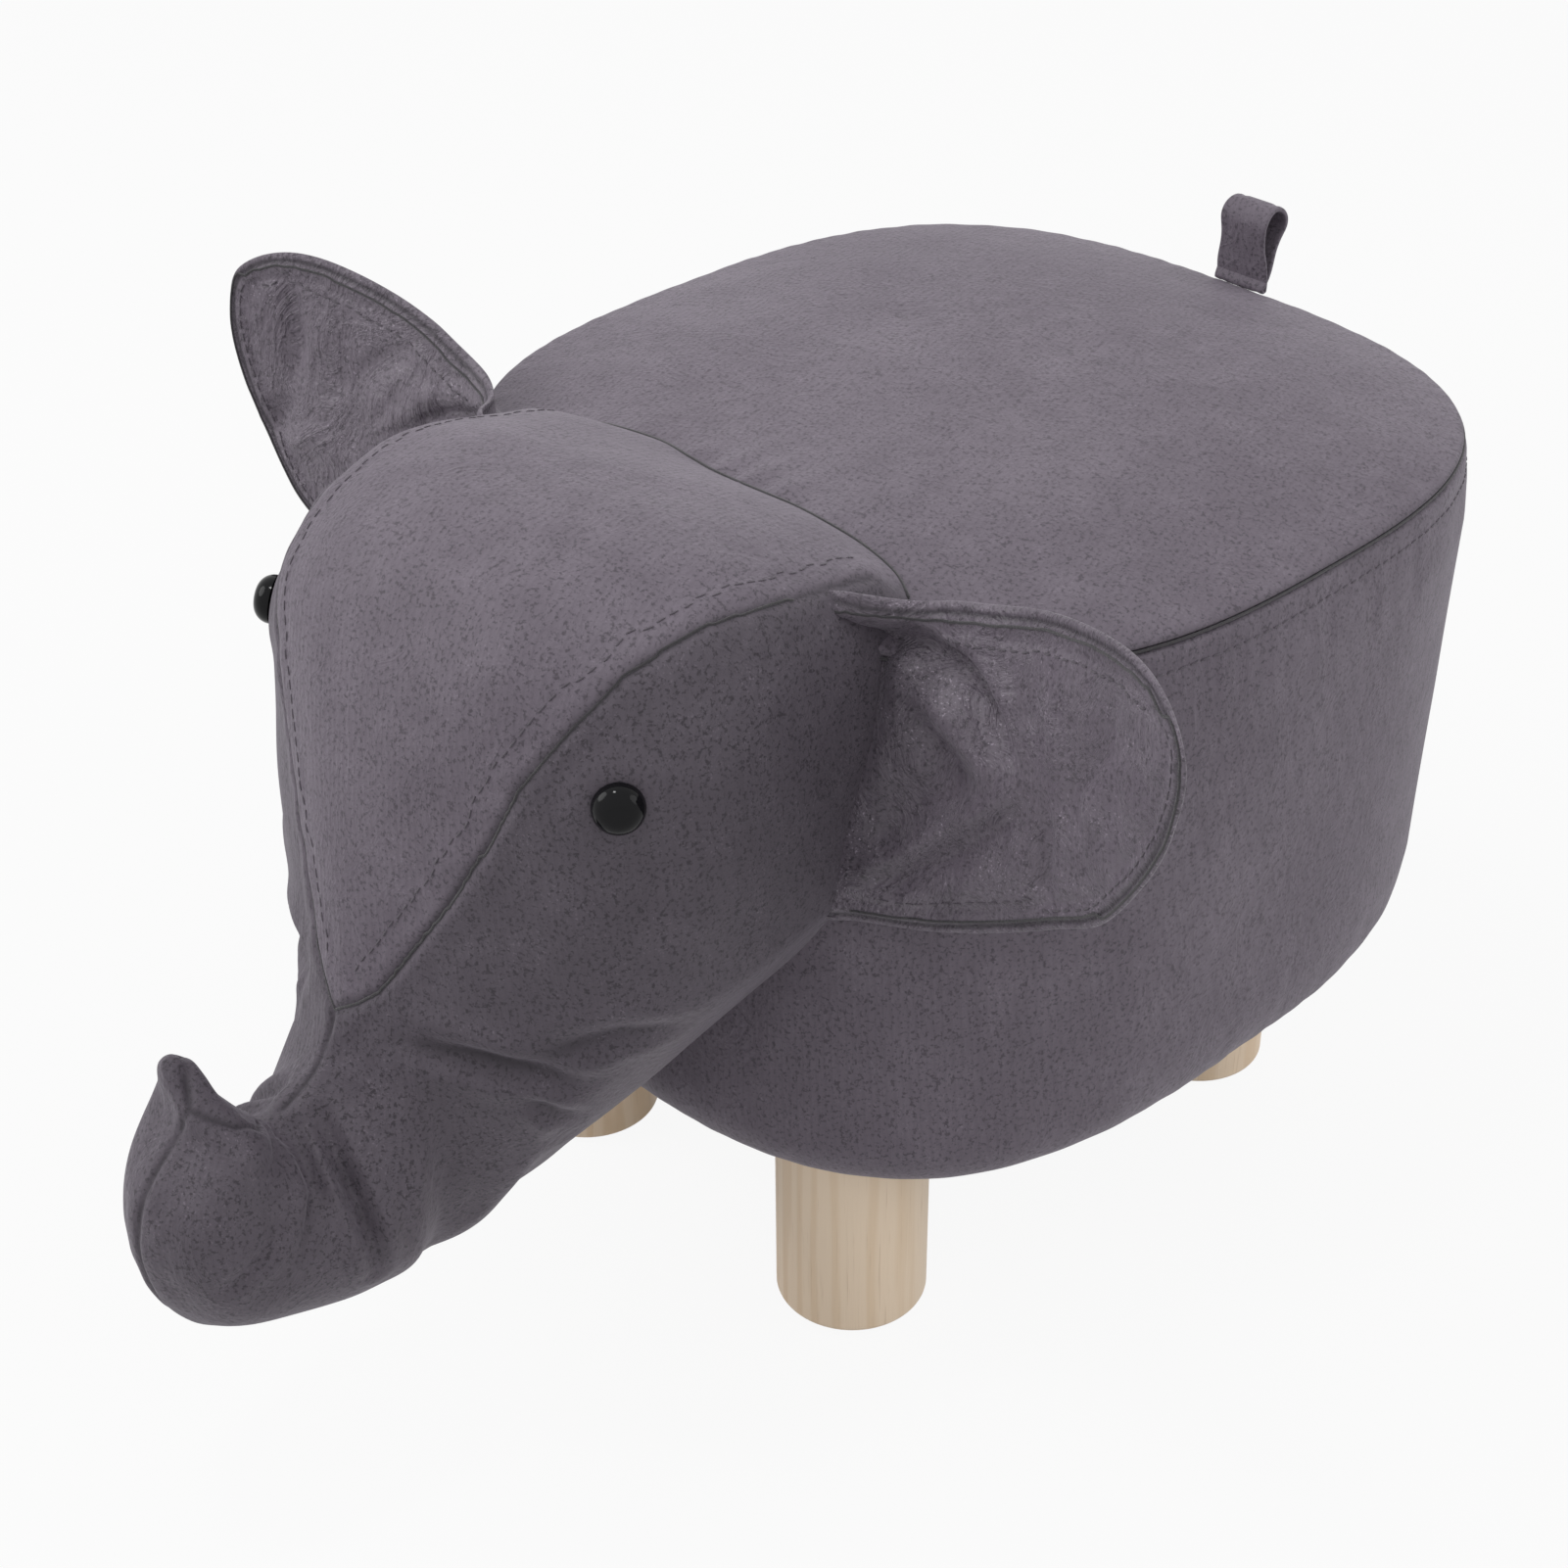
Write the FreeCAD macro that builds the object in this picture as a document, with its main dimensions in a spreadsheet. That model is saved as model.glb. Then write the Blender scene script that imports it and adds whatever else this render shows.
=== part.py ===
import FreeCAD, Part
import math
import os
import Sketcher

# Elephant shaped footstool: a padded box body on four screwed wooden legs, with a stuffed head,
# a curled trunk, two ear flaps, button eyes and a strap loop for a tail.
# Millimetres. The animal faces -Y, its left side is +X, the floor is z = 0.

document = FreeCAD.newDocument("elephant_footstool")
sheet = document.addObject("Spreadsheet::Sheet", "sizes")
Vector = FreeCAD.Vector

SIZES = [
    ("body_half_width", 166, "half the width of the body"),
    ("seat_front_y", -51.5, "front end of the seat seam"),
    ("seat_rear_y", 277.5, "rear end of the seat seam"),
    ("belly_front_y", -85.5, "front end of the body low down"),
    ("belly_rear_y", 270.5, "rear end of the body low down"),
    ("seam_height", 298, "height of the seam round the seat"),
    ("crown_rise", 18, "rise of the seat crown above its seam"),
    ("crown_inset_share", 0.78, "share of the half width by which the crown is drawn in at its top"),
    ("body_base_z", 86, "underside of the body"),
    ("edge_radius", 26, "rounding of the body's lower edge"),
    ("body_squareness", 2.9, "exponent of the body's plan outline"),
    ("cover_thickness", 1.6, "cloth with its backing"),
    ("soft_gap", 0.3, "room between padded pieces"),
    ("flange_width", 24, "cloth turned in under the base board"),
    ("board_thickness", 12, "plywood of the base and the seat board"),
    ("base_board_inset", 26, "base board edge in from the body outline"),
    ("seat_board_inset", 18, "seat board edge in from the seat outline"),
    ("seat_board_drop", 13, "seat board's upper face below the seam"),
    ("panel_thickness", 12, "plywood of the frame's four panels"),
    ("panel_setback", 20, "side panel end in from the post's outer face"),
    ("post_width", 24, "square corner post"),
    ("nut_room", 14, "front panel from the tee nuts"),
    ("post_room", 1, "rear posts from the tee nuts"),
    ("dust_cover_thickness", 0.8, "cloth under the base board"),
    ("dust_cover_overlap", 14, "dust cover over the turned in cloth"),
    ("leg_hole_room", 1.5, "cloth cut away round a leg"),
    ("staple_length", 10, "crown of a staple"),
    ("staple_wire", 0.7, "thickness of a staple"),
    ("staple_inset", 6, "staple in from the dust cover's edge"),
    ("leg_radius", 29, "round wooden leg"),
    ("leg_width_share", 0.4675, "leg centre out, as a share of the half width"),
    ("leg_front_share", 0.1685, "front legs, as a share of the body low down"),
    ("leg_rear_share", 0.7556, "rear legs, as a share of the body low down"),
    ("leg_edge_round", 2.5, "rounding of a leg's lower edge"),
    ("glide_radius", 25, "felt glide under a leg"),
    ("glide_thickness", 2, "felt glide under a leg"),
    ("bolt_radius", 4, "hanger bolt"),
    ("bolt_depth", 32, "hanger bolt inside the leg"),
    ("bolt_rise", 26, "hanger bolt above the leg"),
    ("bolt_room", 0.1, "running room round a bolt"),
    ("nut_flange_radius", 11, "flange of a tee nut"),
    ("nut_flange_thickness", 1.3, "flange of a tee nut"),
    ("nut_barrel_radius", 5.2, "barrel of a tee nut"),
    ("nut_barrel_length", 9, "barrel of a tee nut"),
    ("screw_radius", 2, "frame screw"),
    ("screw_length", 42, "frame screw under its head"),
    ("screw_offset_x", 6, "frame screw out from the post's middle"),
    ("screw_offset_y", 7, "frame screw back from the post's middle"),
    ("screw_head_radius", 4, "frame screw head"),
    ("screw_head_height", 2, "frame screw head, let into the base board"),
    ("head_rear_y", 9.5, "rear end of the head inside the body"),
    ("head_length", 232, "head from its rear to the root of the trunk's curl"),
    ("head_low_z", 80, "level the head's heights count from"),
    ("head_rise", 43, "top of the head over the seat seam"),
    ("head_half_width", 116, "half the width over the cheeks"),
    ("trunk_squareness", 2.1, "exponent of the trunk's sections"),
    ("trunk_depth_share", 0.3142, "trunk's depth at its root, as a share of the head's height"),
    ("curl_share", 0.3257, "line the trunk curls round, as a share of the head's height"),
    ("gore_width", 84, "half the width of the forehead panel"),
    ("gore_length", 226, "forehead panel along the slope"),
    ("gore_slope", 45, "degrees the forehead panel is seen at"),
    ("gore_tip_share", 0.862, "tip of the forehead panel along the head"),
    ("gore_rise_share", 0.390, "tip of the forehead panel up the head"),
    ("gore_sink", 61, "start of the forehead cut below that tip"),
    ("gore_reach", 220, "length of the forehead cut along its normal"),
    ("patch_ahead", 28, "front of the end patch before the curl's line"),
    ("patch_length", 26, "end patch along the middle plane"),
    ("patch_drop", 6, "lower end of the end patch below the curl's line"),
    ("patch_height", 50, "reach of the end patch cut"),
    ("patch_half_width", 40, "reach of the end patch cut"),
    ("eye_radius", 8.6, "button eye"),
    ("eye_height", 6.4, "button eye over the cloth"),
    ("eye_shank_radius", 2.4, "button eye's shank"),
    ("eye_shank_length", 11, "button eye's shank"),
    ("eye_seat", 0.6, "eye's back over the cloth at its middle"),
    ("eye_along_share", 0.6465, "eye along the head"),
    ("eye_up_share", 0.7820, "eye up the head"),
    ("dome_share", 0.94, "rounding of the eye's dome, as a share of its height"),
    ("washer_radius", 7, "washer behind the eye"),
    ("washer_thickness", 1.5, "washer behind the eye"),
    ("washer_depth", 6, "washer below the eye's back"),
    ("ear_layer", 2, "one cloth layer of an ear"),
    ("ear_width", 127, "ear out from its root"),
    ("ear_height", 136, "ear from its lower to its upper edge"),
    ("ear_drop", 90, "lower edge of the ear below the seat seam"),
    ("ear_root_y", -53, "ear root along the head"),
    ("ear_curve_radius", 220, "bend of the ear's leaf"),
    ("ear_bead_radius", 2.6, "rolled root of the ear"),
    ("ear_bead_start", 4, "rolled root over the lower edge"),
    ("ear_bead_length", 92, "length of the rolled root"),
    ("ear_room", 0.4, "ear root from the cheek"),
    ("loop_width", 21, "strap of the tail loop"),
    ("loop_strap", 2.2, "thickness of the strap"),
    ("loop_bulb_radius", 8, "rounded top of the loop"),
    ("loop_bead_radius", 2.3, "rolled root of the loop"),
    ("loop_rise", 26, "loop's top centre over its root"),
    ("loop_gap_start", 9, "lower end of the loop's gap over its root"),
    ("loop_gap_radius", 1.2, "lower end of the loop's gap"),
    ("loop_inset", 2, "loop root in from the rear seam"),
    ("loop_room", 1.0, "loop root over the seam"),
]

for row, (alias, amount, note) in enumerate(SIZES, start=1):
    sheet.set("A%d" % row, alias)
    sheet.set("B%d" % row, str(amount))
    sheet.setAlias("B%d" % row, alias)
    sheet.set("C%d" % row, note)
document.recompute()


def size(alias):
    """Value of a named cell."""
    return float(sheet.get(alias))


def along_body(share):
    """Place along the body low down."""
    return size("belly_front_y") + size(share) * (size("belly_rear_y") - size("belly_front_y"))


def head_height():
    """Head from the level its heights count from to its top."""
    return size("seam_height") + size("head_rise") - size("head_low_z")


def cell(expression):
    """Expression with every cell name prefixed by its sheet."""
    words = sorted((alias for alias, amount, note in SIZES), key=len, reverse=True)
    parts = expression.split(" ")
    return " ".join("sizes." + part if part in words else part for part in parts)


def bind(item, **links):
    """Tie properties of an object to cells; a double underscore stands for a dot."""
    for name, expression in links.items():
        item.setExpression(name.replace("__", "."), cell(expression))


def place(item, x, y, z):
    """Tie an object's position to cells."""
    bind(item, Placement__Base__x=x, Placement__Base__y=y, Placement__Base__z=z)


PIECES = []


def piece(item, label):
    """Name a finished sub-part and keep it for export."""
    item.Label = label
    PIECES.append(item)
    return item


def shape_piece(label, shape):
    """Sub-part whose shape is made by Part functions."""
    feature = document.addObject("Part::Feature", label)
    feature.Shape = shape
    return piece(feature, label)


# Solid features of turned and punched pieces

def new_body(label):
    """Empty solid body."""
    return document.addObject("PartDesign::Body", label)


def new_sketch(body, name, role="XY_Plane"):
    """Sketch on one of the body's own origin planes."""
    plane = [item for item in body.Origin.OriginFeatures if item.Role == role][0]
    sketch = body.newObject("Sketcher::SketchObject", name)
    sketch.AttachmentSupport = [(plane, "")]
    sketch.MapMode = "FlatFace"
    return sketch


def fix(sketch, kind, places, amount, expression):
    """Add a dimension tied to cells."""
    index = sketch.addConstraint(Sketcher.Constraint(kind, *places, amount))
    sketch.setExpression("Constraints[%d]" % index, cell(expression))


def circle(sketch, radius):
    """Circle about the sketch's origin."""
    edge = sketch.addGeometry(Part.Circle(Vector(0, 0, 0), Vector(0, 0, 1), 1))
    sketch.addConstraint(Sketcher.Constraint("Coincident", edge, 3, -1, 1))
    fix(sketch, "Radius", (edge,), 1, radius)


def pad(body, name, radius, length, level="0"):
    """Round boss from a level upwards."""
    sketch = new_sketch(body, name + "_sketch")
    circle(sketch, radius)
    bind(sketch, AttachmentOffset__Base__z=level)
    feature = body.newObject("PartDesign::Pad", name)
    feature.Profile = sketch
    bind(feature, Length=length)
    return feature


def bore(body, name, radius, length, level):
    """Round hole from a level downwards."""
    sketch = new_sketch(body, name + "_sketch")
    circle(sketch, radius)
    bind(sketch, AttachmentOffset__Base__z=level)
    feature = body.newObject("PartDesign::Pocket", name)
    feature.Profile = sketch
    bind(feature, Length=length)
    return feature


def profile(body, name, corners):
    """Closed outline of straight lines in the body's XZ plane, each corner tied to cells."""
    sketch = new_sketch(body, name, "XZ_Plane")
    count = len(corners)
    guess = [Vector(math.cos(2 * math.pi * k / count), math.sin(2 * math.pi * k / count), 0)
             for k in range(count)]
    for k in range(count):
        sketch.addGeometry(Part.LineSegment(guess[k], guess[(k + 1) % count]))
    for k in range(count):
        sketch.addConstraint(Sketcher.Constraint("Coincident", k, 2, (k + 1) % count, 1))
    for k, (across, along) in enumerate(corners):
        fix(sketch, "DistanceX", (-1, 1, k, 1), guess[k].x, across)
        fix(sketch, "DistanceY", (-1, 1, k, 1), guess[k].y, along)
    return sketch


def turn(body, sketch, name):
    """Full turn of an outline about the body's Z axis."""
    feature = body.newObject("PartDesign::Revolution", name)
    feature.Profile = sketch
    axis = [item for item in body.Origin.OriginFeatures if item.Role == "Z_Axis"][0]
    feature.ReferenceAxis = (axis, [""])
    feature.Angle = 360
    return feature


def round_edge(body, feature, name, radius, level):
    """Round the circular edge that lies at a level."""
    document.recompute()
    edges = []
    for number, edge in enumerate(feature.Shape.Edges, start=1):
        flat = abs(edge.BoundBox.ZMax - edge.BoundBox.ZMin) < edge.Length / 1000
        if flat and abs(edge.BoundBox.ZMax - level) < edge.Length / 1000:
            edges.append("Edge%d" % number)
    rounding = body.newObject("PartDesign::Fillet", name)
    rounding.Base = (feature, edges)
    bind(rounding, Radius=radius)
    return rounding


# Outlines of the padded forms

def oval(exponent):
    """Sixteen points of a unit superellipse, counter-clockwise; arcs are centred on its axes."""
    points = []
    for k in range(16):
        angle = 2 * math.pi * (k - 1) / 16
        across = math.copysign(abs(math.cos(angle)) ** (2 / exponent), math.cos(angle))
        along = math.copysign(abs(math.sin(angle)) ** (2 / exponent), math.sin(angle))
        points.append((across, along))
    return points


def arcs(points):
    """Closed wire of arcs, each through three neighbouring points."""
    count = len(points)
    edges = []
    for k in range(0, count, 2):
        arc = Part.Arc(points[k], points[k + 1], points[(k + 2) % count])
        edges.append(arc.toShape())
    return Part.Wire(edges)


def body_wire(z, front, rear, inset):
    """Plan outline of the body at a height, drawn in by an inset."""
    middle = (front + rear) / 2
    half_length = (rear - front) / 2 - inset
    half_width = size("body_half_width") - inset
    return arcs([Vector(half_width * across, middle + half_length * along, z)
                 for across, along in oval(size("body_squareness"))])


def flank(inset):
    """Body from its underside to the seat seam, drawn in by an inset."""
    base = size("body_base_z") + inset
    radius = size("edge_radius") - inset
    wires = []
    for share in (0, 1 / 3, 2 / 3, 1):
        angle = share * math.pi / 2
        wires.append(body_wire(base + radius * (1 - math.cos(angle)), size("belly_front_y"),
                               size("belly_rear_y"), inset + radius * (1 - math.sin(angle))))
    low = base + radius
    for share in (1 / 2, 1):
        front = size("belly_front_y") + share * (size("seat_front_y") - size("belly_front_y"))
        rear = size("belly_rear_y") + share * (size("seat_rear_y") - size("belly_rear_y"))
        wires.append(body_wire(low + share * (size("seam_height") - low), front, rear, inset))
    lower = Part.makeLoft(wires[:4], True, False)
    upper = Part.makeLoft(wires[3:], True, False)
    return lower.fuse(upper).removeSplitter()


CROWN_SHARES = (0, 0.1, 0.3, 0.6, 1)


def crown(inset):
    """Seat crown over the seam, lowered and drawn in by an inset."""
    wires = []
    for share in CROWN_SHARES:
        rise = size("crown_rise") * (1 - (1 - share) ** 2) - inset * min(1, 2 * share)
        drawn_in = share * size("crown_inset_share") * size("body_half_width")
        wires.append(body_wire(size("seam_height") + rise, size("seat_front_y"),
                               size("seat_rear_y"), inset + drawn_in))
    return Part.makeLoft(wires, True, False)


# Head stations: share of the head's length, then shares of its height for the top, the widest
# level and the underside, then the share of its half width and the exponents of the section's
# upper and lower half.
HEAD_SHARES = [
    (0.000, 0.854, 0.517, 0.093, 0.957, 4.00, 1.30),
    (0.112, 0.923, 0.517, 0.066, 0.957, 4.30, 1.20),
    (0.241, 0.973, 0.506, 0.050, 0.918, 4.50, 1.15),
    (0.392, 1.004, 0.490, 0.034, 0.927, 4.40, 1.15),
    (0.522, 1.004, 0.479, 0.015, 0.918, 3.90, 1.20),
    (0.629, 0.981, 0.471, -0.010, 0.845, 3.50, 1.30),
    (0.694, 0.939, 0.452, -0.024, 0.724, 3.50, 1.48),
    (0.741, 0.870, 0.421, -0.037, 0.569, 3.20, 1.80),
    (0.784, 0.766, 0.375, -0.044, 0.431, 2.50, 2.10),
    (0.819, 0.640, 0.318, -0.044, 0.358, 1.60, 2.20),
    (0.849, 0.498, 0.249, -0.041, 0.353, 1.40, 2.20),
    (0.879, 0.395, 0.195, -0.033, 0.375, 1.45, 2.20),
    (0.922, 0.330, 0.157, -0.023, 0.371, 1.50, 2.15),
    (1.000, 0.291, 0.134, -0.015, 0.349, 1.60, 2.05),
]

# Curl stations: degrees turned, then shares of the trunk's depth for the near and far side of the
# section from the curl's centre line and for its half width.
CURL_SHARES = [
    (30, 0.10, 1.07, 0.475),
    (52, 0.10, 0.94, 0.445),
    (72, 0.10, 0.70, 0.390),
]

# Tip stations, level sections over the curl's centre line: share of the trunk's depth for the
# height, then for the near and far side and the half width.
TIP_SHARES = [
    (0.05, 0.11, 0.467, 0.305),
    (0.16, 0.14, 0.455, 0.270),
    (0.27, 0.18, 0.440, 0.205),
    (0.36, 0.24, 0.415, 0.120),
]


def egg(upper, lower):
    """Twenty points of a unit section, counter-clockwise, with one exponent above and one below."""
    points = []
    for k in range(20):
        angle = 2 * math.pi * k / 20
        across = math.cos(angle)
        along = math.sin(angle)
        exponent = upper if k < 10 else lower
        reach = (abs(across) ** exponent + abs(along) ** exponent) ** (-1 / exponent)
        points.append((across * reach, along * reach))
    return points


def section(centre, up, half_width, above, below, upper, lower):
    """Closed section across the middle plane: its own up direction, its reach and exponent each way."""
    points = []
    for across, along in egg(upper, lower):
        reach = along * (above if along > 0 else below)
        points.append(centre + Vector(half_width * across, 0, 0) + up * reach)
    return arcs(points)


def curl_line():
    """Point of the middle plane that the trunk curls round."""
    height = size("head_low_z") + size("curl_share") * head_height()
    return Vector(0, size("head_rear_y") - size("head_length"), height)


def stuffed(inset):
    """Head and trunk in one skin, drawn in by an inset."""
    wires = []
    for along, top, middle, low, width, upper, lower in HEAD_SHARES:
        y = size("head_rear_y") - along * size("head_length") + inset * 4 * along * (1 - along)
        level = size("head_low_z") + middle * head_height()
        wires.append(section(Vector(0, y, level), Vector(0, 0, 1),
                             width * size("head_half_width") - inset,
                             (top - middle) * head_height() - inset,
                             (middle - low) * head_height() - inset, upper, lower))
    pivot = curl_line()
    round_trunk = size("trunk_squareness")
    depth = size("trunk_depth_share") * head_height()
    for angle, near, far, width in CURL_SHARES:
        out = Vector(0, -math.sin(math.radians(angle)), -math.cos(math.radians(angle)))
        half = (far - near) * depth / 2 - inset
        wires.append(section(pivot + out * ((far + near) * depth / 2), out * -1,
                             width * depth - inset, half, half, round_trunk, round_trunk))
    for rise, near, far, width in TIP_SHARES:
        half = (far - near) * depth / 2 - inset
        drop = inset if rise == TIP_SHARES[-1][0] else 0
        centre = pivot + Vector(0, -(far + near) * depth / 2, rise * depth - drop)
        wires.append(section(centre, Vector(0, 1, 0), width * depth - inset, half, half,
                             round_trunk, round_trunk))
    return Part.makeLoft(wires, True, False)


def outside(shape, *cutters):
    """Shape less every cutter."""
    for cutter in cutters:
        shape = shape.cut(cutter)
    return shape


def half_space(side):
    """Large box on one side of the middle plane."""
    reach = size("head_length") * 4
    corner = Vector(0 if side > 0 else -reach, -reach / 2, -reach / 2)
    return Part.makeBox(reach, reach, reach, corner)


def slab(low, high):
    """Large box between two heights."""
    reach = size("head_length") * 4
    return Part.makeBox(reach, reach, high - low, Vector(-reach / 2, -reach / 2, low))


# Wooden frame

thickness = size("cover_thickness")
gap = size("soft_gap")
board_base = size("body_base_z") + thickness
board_top = board_base + size("board_thickness")
seat_board_top = size("seam_height") - size("seat_board_drop")
seat_board_base = seat_board_top - size("board_thickness")
SIDES = (("left", 1), ("right", -1))
LEG_X = "body_half_width * leg_width_share"
BODY_RUN = "belly_front_y + ( belly_rear_y - belly_front_y ) * "
LEG_FRONT = BODY_RUN + "leg_front_share"
LEG_REAR = BODY_RUN + "leg_rear_share"
POST_FRONT = LEG_FRONT + " + nut_flange_radius + nut_room + panel_thickness + post_width / 2"
POST_REAR = LEG_REAR + " + nut_flange_radius + post_room + post_width / 2"
ENDS = (("front", LEG_FRONT, POST_FRONT), ("rear", LEG_REAR, POST_REAR))
leg_x = size("body_half_width") * size("leg_width_share")
post_half = size("post_width") / 2
leg_rows = (along_body("leg_front_share"), along_body("leg_rear_share"))
post_rows = (leg_rows[0] + size("nut_flange_radius") + size("nut_room") + size("panel_thickness") + post_half,
             leg_rows[1] + size("nut_flange_radius") + size("post_room") + post_half)


def upright(radius, x, y, low, high):
    """Standing cylinder between two heights."""
    return Part.makeCylinder(radius, high - low, Vector(x, y, low))


leg_places = [(side * leg_x, y) for name, side in SIDES for y in leg_rows]
screw_places = [(side * (leg_x + size("screw_offset_x")), y + size("screw_offset_y"))
                for name, side in SIDES for y in post_rows]

base_outline = body_wire(board_base, size("belly_front_y"), size("belly_rear_y"), size("base_board_inset"))
base_board = Part.Face(base_outline).extrude(Vector(0, 0, size("board_thickness")))
nut_hole = size("nut_barrel_radius") + size("bolt_room")
screw_hole = size("screw_radius") + size("bolt_room")
base_board = outside(base_board, *[upright(nut_hole, x, y, 0, board_top + gap) for x, y in leg_places])
base_board = outside(base_board, *[upright(screw_hole, x, y, 0, board_top + gap) for x, y in screw_places])
head_hole = size("screw_head_radius") + size("bolt_room")
head_top = board_base + size("screw_head_height")
base_board = outside(base_board, *[upright(head_hole, x, y, 0, head_top) for x, y in screw_places])
shape_piece("base_board", base_board)

seat_outline = body_wire(seat_board_base, size("seat_front_y"), size("seat_rear_y"), size("seat_board_inset"))
shape_piece("seat_board", Part.Face(seat_outline).extrude(Vector(0, 0, size("board_thickness"))))

frame_base = "body_base_z + cover_thickness + board_thickness"
frame_height = "seam_height - seat_board_drop - board_thickness - ( " + frame_base + " )"

for name, side in SIDES:
    panel = document.addObject("Part::Box", name + "_panel")
    bind(panel, Length="panel_thickness", Height=frame_height,
         Width=POST_REAR + " - ( " + POST_FRONT + " ) + post_width - 2 * panel_setback")
    near_face = LEG_X + " + post_width / 2"
    x = near_face if side > 0 else "0 - ( " + near_face + " + panel_thickness )"
    place(panel, x, POST_FRONT + " - post_width / 2 + panel_setback", frame_base)
    piece(panel, name + "_panel")

for end, leg_y, post_y in ENDS:
    panel = document.addObject("Part::Box", end + "_panel")
    bind(panel, Width="panel_thickness", Height=frame_height,
         Length="2 * " + LEG_X + " + post_width - 2 * panel_setback")
    face = post_y + (" - post_width / 2 - panel_thickness" if end == "front" else " + post_width / 2")
    place(panel, "panel_setback - " + LEG_X + " - post_width / 2", face, frame_base)
    piece(panel, end + "_panel")

for name, side in SIDES:
    for end, leg_y, post_y in ENDS:
        label = "corner_post_%s_%s" % (end, name)
        block = document.addObject("Part::Box", label + "_block")
        bind(block, Length="post_width", Width="post_width", Height=frame_height)
        x = LEG_X + " - post_width / 2" if side > 0 else "0 - " + LEG_X + " - post_width / 2"
        place(block, x, post_y + " - post_width / 2", frame_base)
        pilot = document.addObject("Part::Cylinder", label + "_pilot")
        bind(pilot, Radius="screw_radius + bolt_room", Height="screw_length")
        axis_x = LEG_X + " + screw_offset_x" if side > 0 else "0 - " + LEG_X + " - screw_offset_x"
        place(pilot, axis_x, post_y + " + screw_offset_y", "body_base_z + cover_thickness")
        post = document.addObject("Part::Cut", label)
        post.Base = block
        post.Tool = pilot
        piece(post, label)

screws = []
for x, y in screw_places:
    shank = upright(size("screw_radius"), x, y, board_base, board_base + size("screw_length") - gap)
    head = upright(size("screw_head_radius"), x, y, board_base, head_top)
    screws.append(shank.fuse(head))
shape_piece("frame_screws", Part.makeCompound(screws))

# Legs with their bolts, tee nuts and glides

for name, side in SIDES:
    for end, leg_y, post_y in ENDS:
        tag = "%s_%s" % (end, name)
        x = LEG_X if side > 0 else "0 - " + LEG_X
        length = "body_base_z + cover_thickness - glide_thickness"

        leg = new_body("leg_" + tag)
        turned = pad(leg, "turned_" + tag, "leg_radius", length)
        round_edge(leg, turned, "foot_edge_" + tag, "leg_edge_round", 0)
        bore(leg, "pilot_" + tag, "bolt_radius + bolt_room", "bolt_depth", length)
        place(leg, x, leg_y, "glide_thickness")
        piece(leg, "leg_" + tag)

        bolt = new_body("hanger_bolt_" + tag)
        pad(bolt, "shank_" + tag, "bolt_radius", "bolt_depth + bolt_rise - soft_gap")
        place(bolt, x, leg_y, "body_base_z + cover_thickness - bolt_depth + soft_gap")
        piece(bolt, "hanger_bolt_" + tag)

        glide = new_body("felt_glide_" + tag)
        pad(glide, "felt_" + tag, "glide_radius", "glide_thickness")
        place(glide, x, leg_y, "0")
        piece(glide, "felt_glide_" + tag)

        nut = new_body("tee_nut_" + tag)
        ring = profile(nut, "nut_outline_" + tag, [
            ("bolt_radius + bolt_room", "0 - nut_barrel_length"),
            ("nut_barrel_radius", "0 - nut_barrel_length"),
            ("nut_barrel_radius", "0"),
            ("nut_flange_radius", "0"),
            ("nut_flange_radius", "nut_flange_thickness"),
            ("bolt_radius + bolt_room", "nut_flange_thickness"),
        ])
        turn(nut, ring, "nut_turn_" + tag)
        place(nut, x, leg_y, frame_base)
        piece(nut, "tee_nut_" + tag)

# Padding and covers of the body

cavity_room = [
    body_wire(0, size("belly_front_y"), size("belly_rear_y"), size("base_board_inset") - gap),
    body_wire(board_top + gap, size("belly_front_y"), size("belly_rear_y"), size("base_board_inset") - gap),
    body_wire(seat_board_base - gap, size("seat_front_y"), size("seat_rear_y"), size("seat_board_inset") - gap),
    body_wire(size("seam_height"), size("seat_front_y"), size("seat_rear_y"), size("seat_board_inset") - gap),
]
cavity = Part.makeLoft(cavity_room, True, True)
padding = thickness + gap
side_foam = flank(padding).common(slab(0, seat_board_top - gap)).cut(cavity)
shape_piece("side_foam", side_foam)

seat_slab = flank(padding).common(slab(seat_board_top, size("seam_height")))
shape_piece("seat_foam", seat_slab.fuse(crown(padding)).removeSplitter())

flank_skin = flank(0).cut(flank(thickness))
turn_in = size("edge_radius") + size("flange_width")
opening = body_wire(0, size("belly_front_y"), size("belly_rear_y"), turn_in)
flank_skin = flank_skin.cut(Part.Face(opening).extrude(Vector(0, 0, seat_board_top)))
leg_hole = size("leg_radius") + size("leg_hole_room")
flank_skin = outside(flank_skin, *[upright(leg_hole, x, y, 0, board_top) for x, y in leg_places])
for name, side in SIDES:
    shape_piece(name + "_flank_cover", flank_skin.common(half_space(side)))

shape_piece("seat_cover", crown(0).cut(crown(thickness)))

dust_base = size("body_base_z") - size("dust_cover_thickness")
dust_inset = turn_in - size("dust_cover_overlap")
dust_outline = body_wire(dust_base, size("belly_front_y"), size("belly_rear_y"), dust_inset)
dust_cover = Part.Face(dust_outline).extrude(Vector(0, 0, size("dust_cover_thickness")))
dust_cover = outside(dust_cover, *[upright(leg_hole, x, y, 0, board_base) for x, y in leg_places])
shape_piece("dust_cover", dust_cover)

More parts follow.
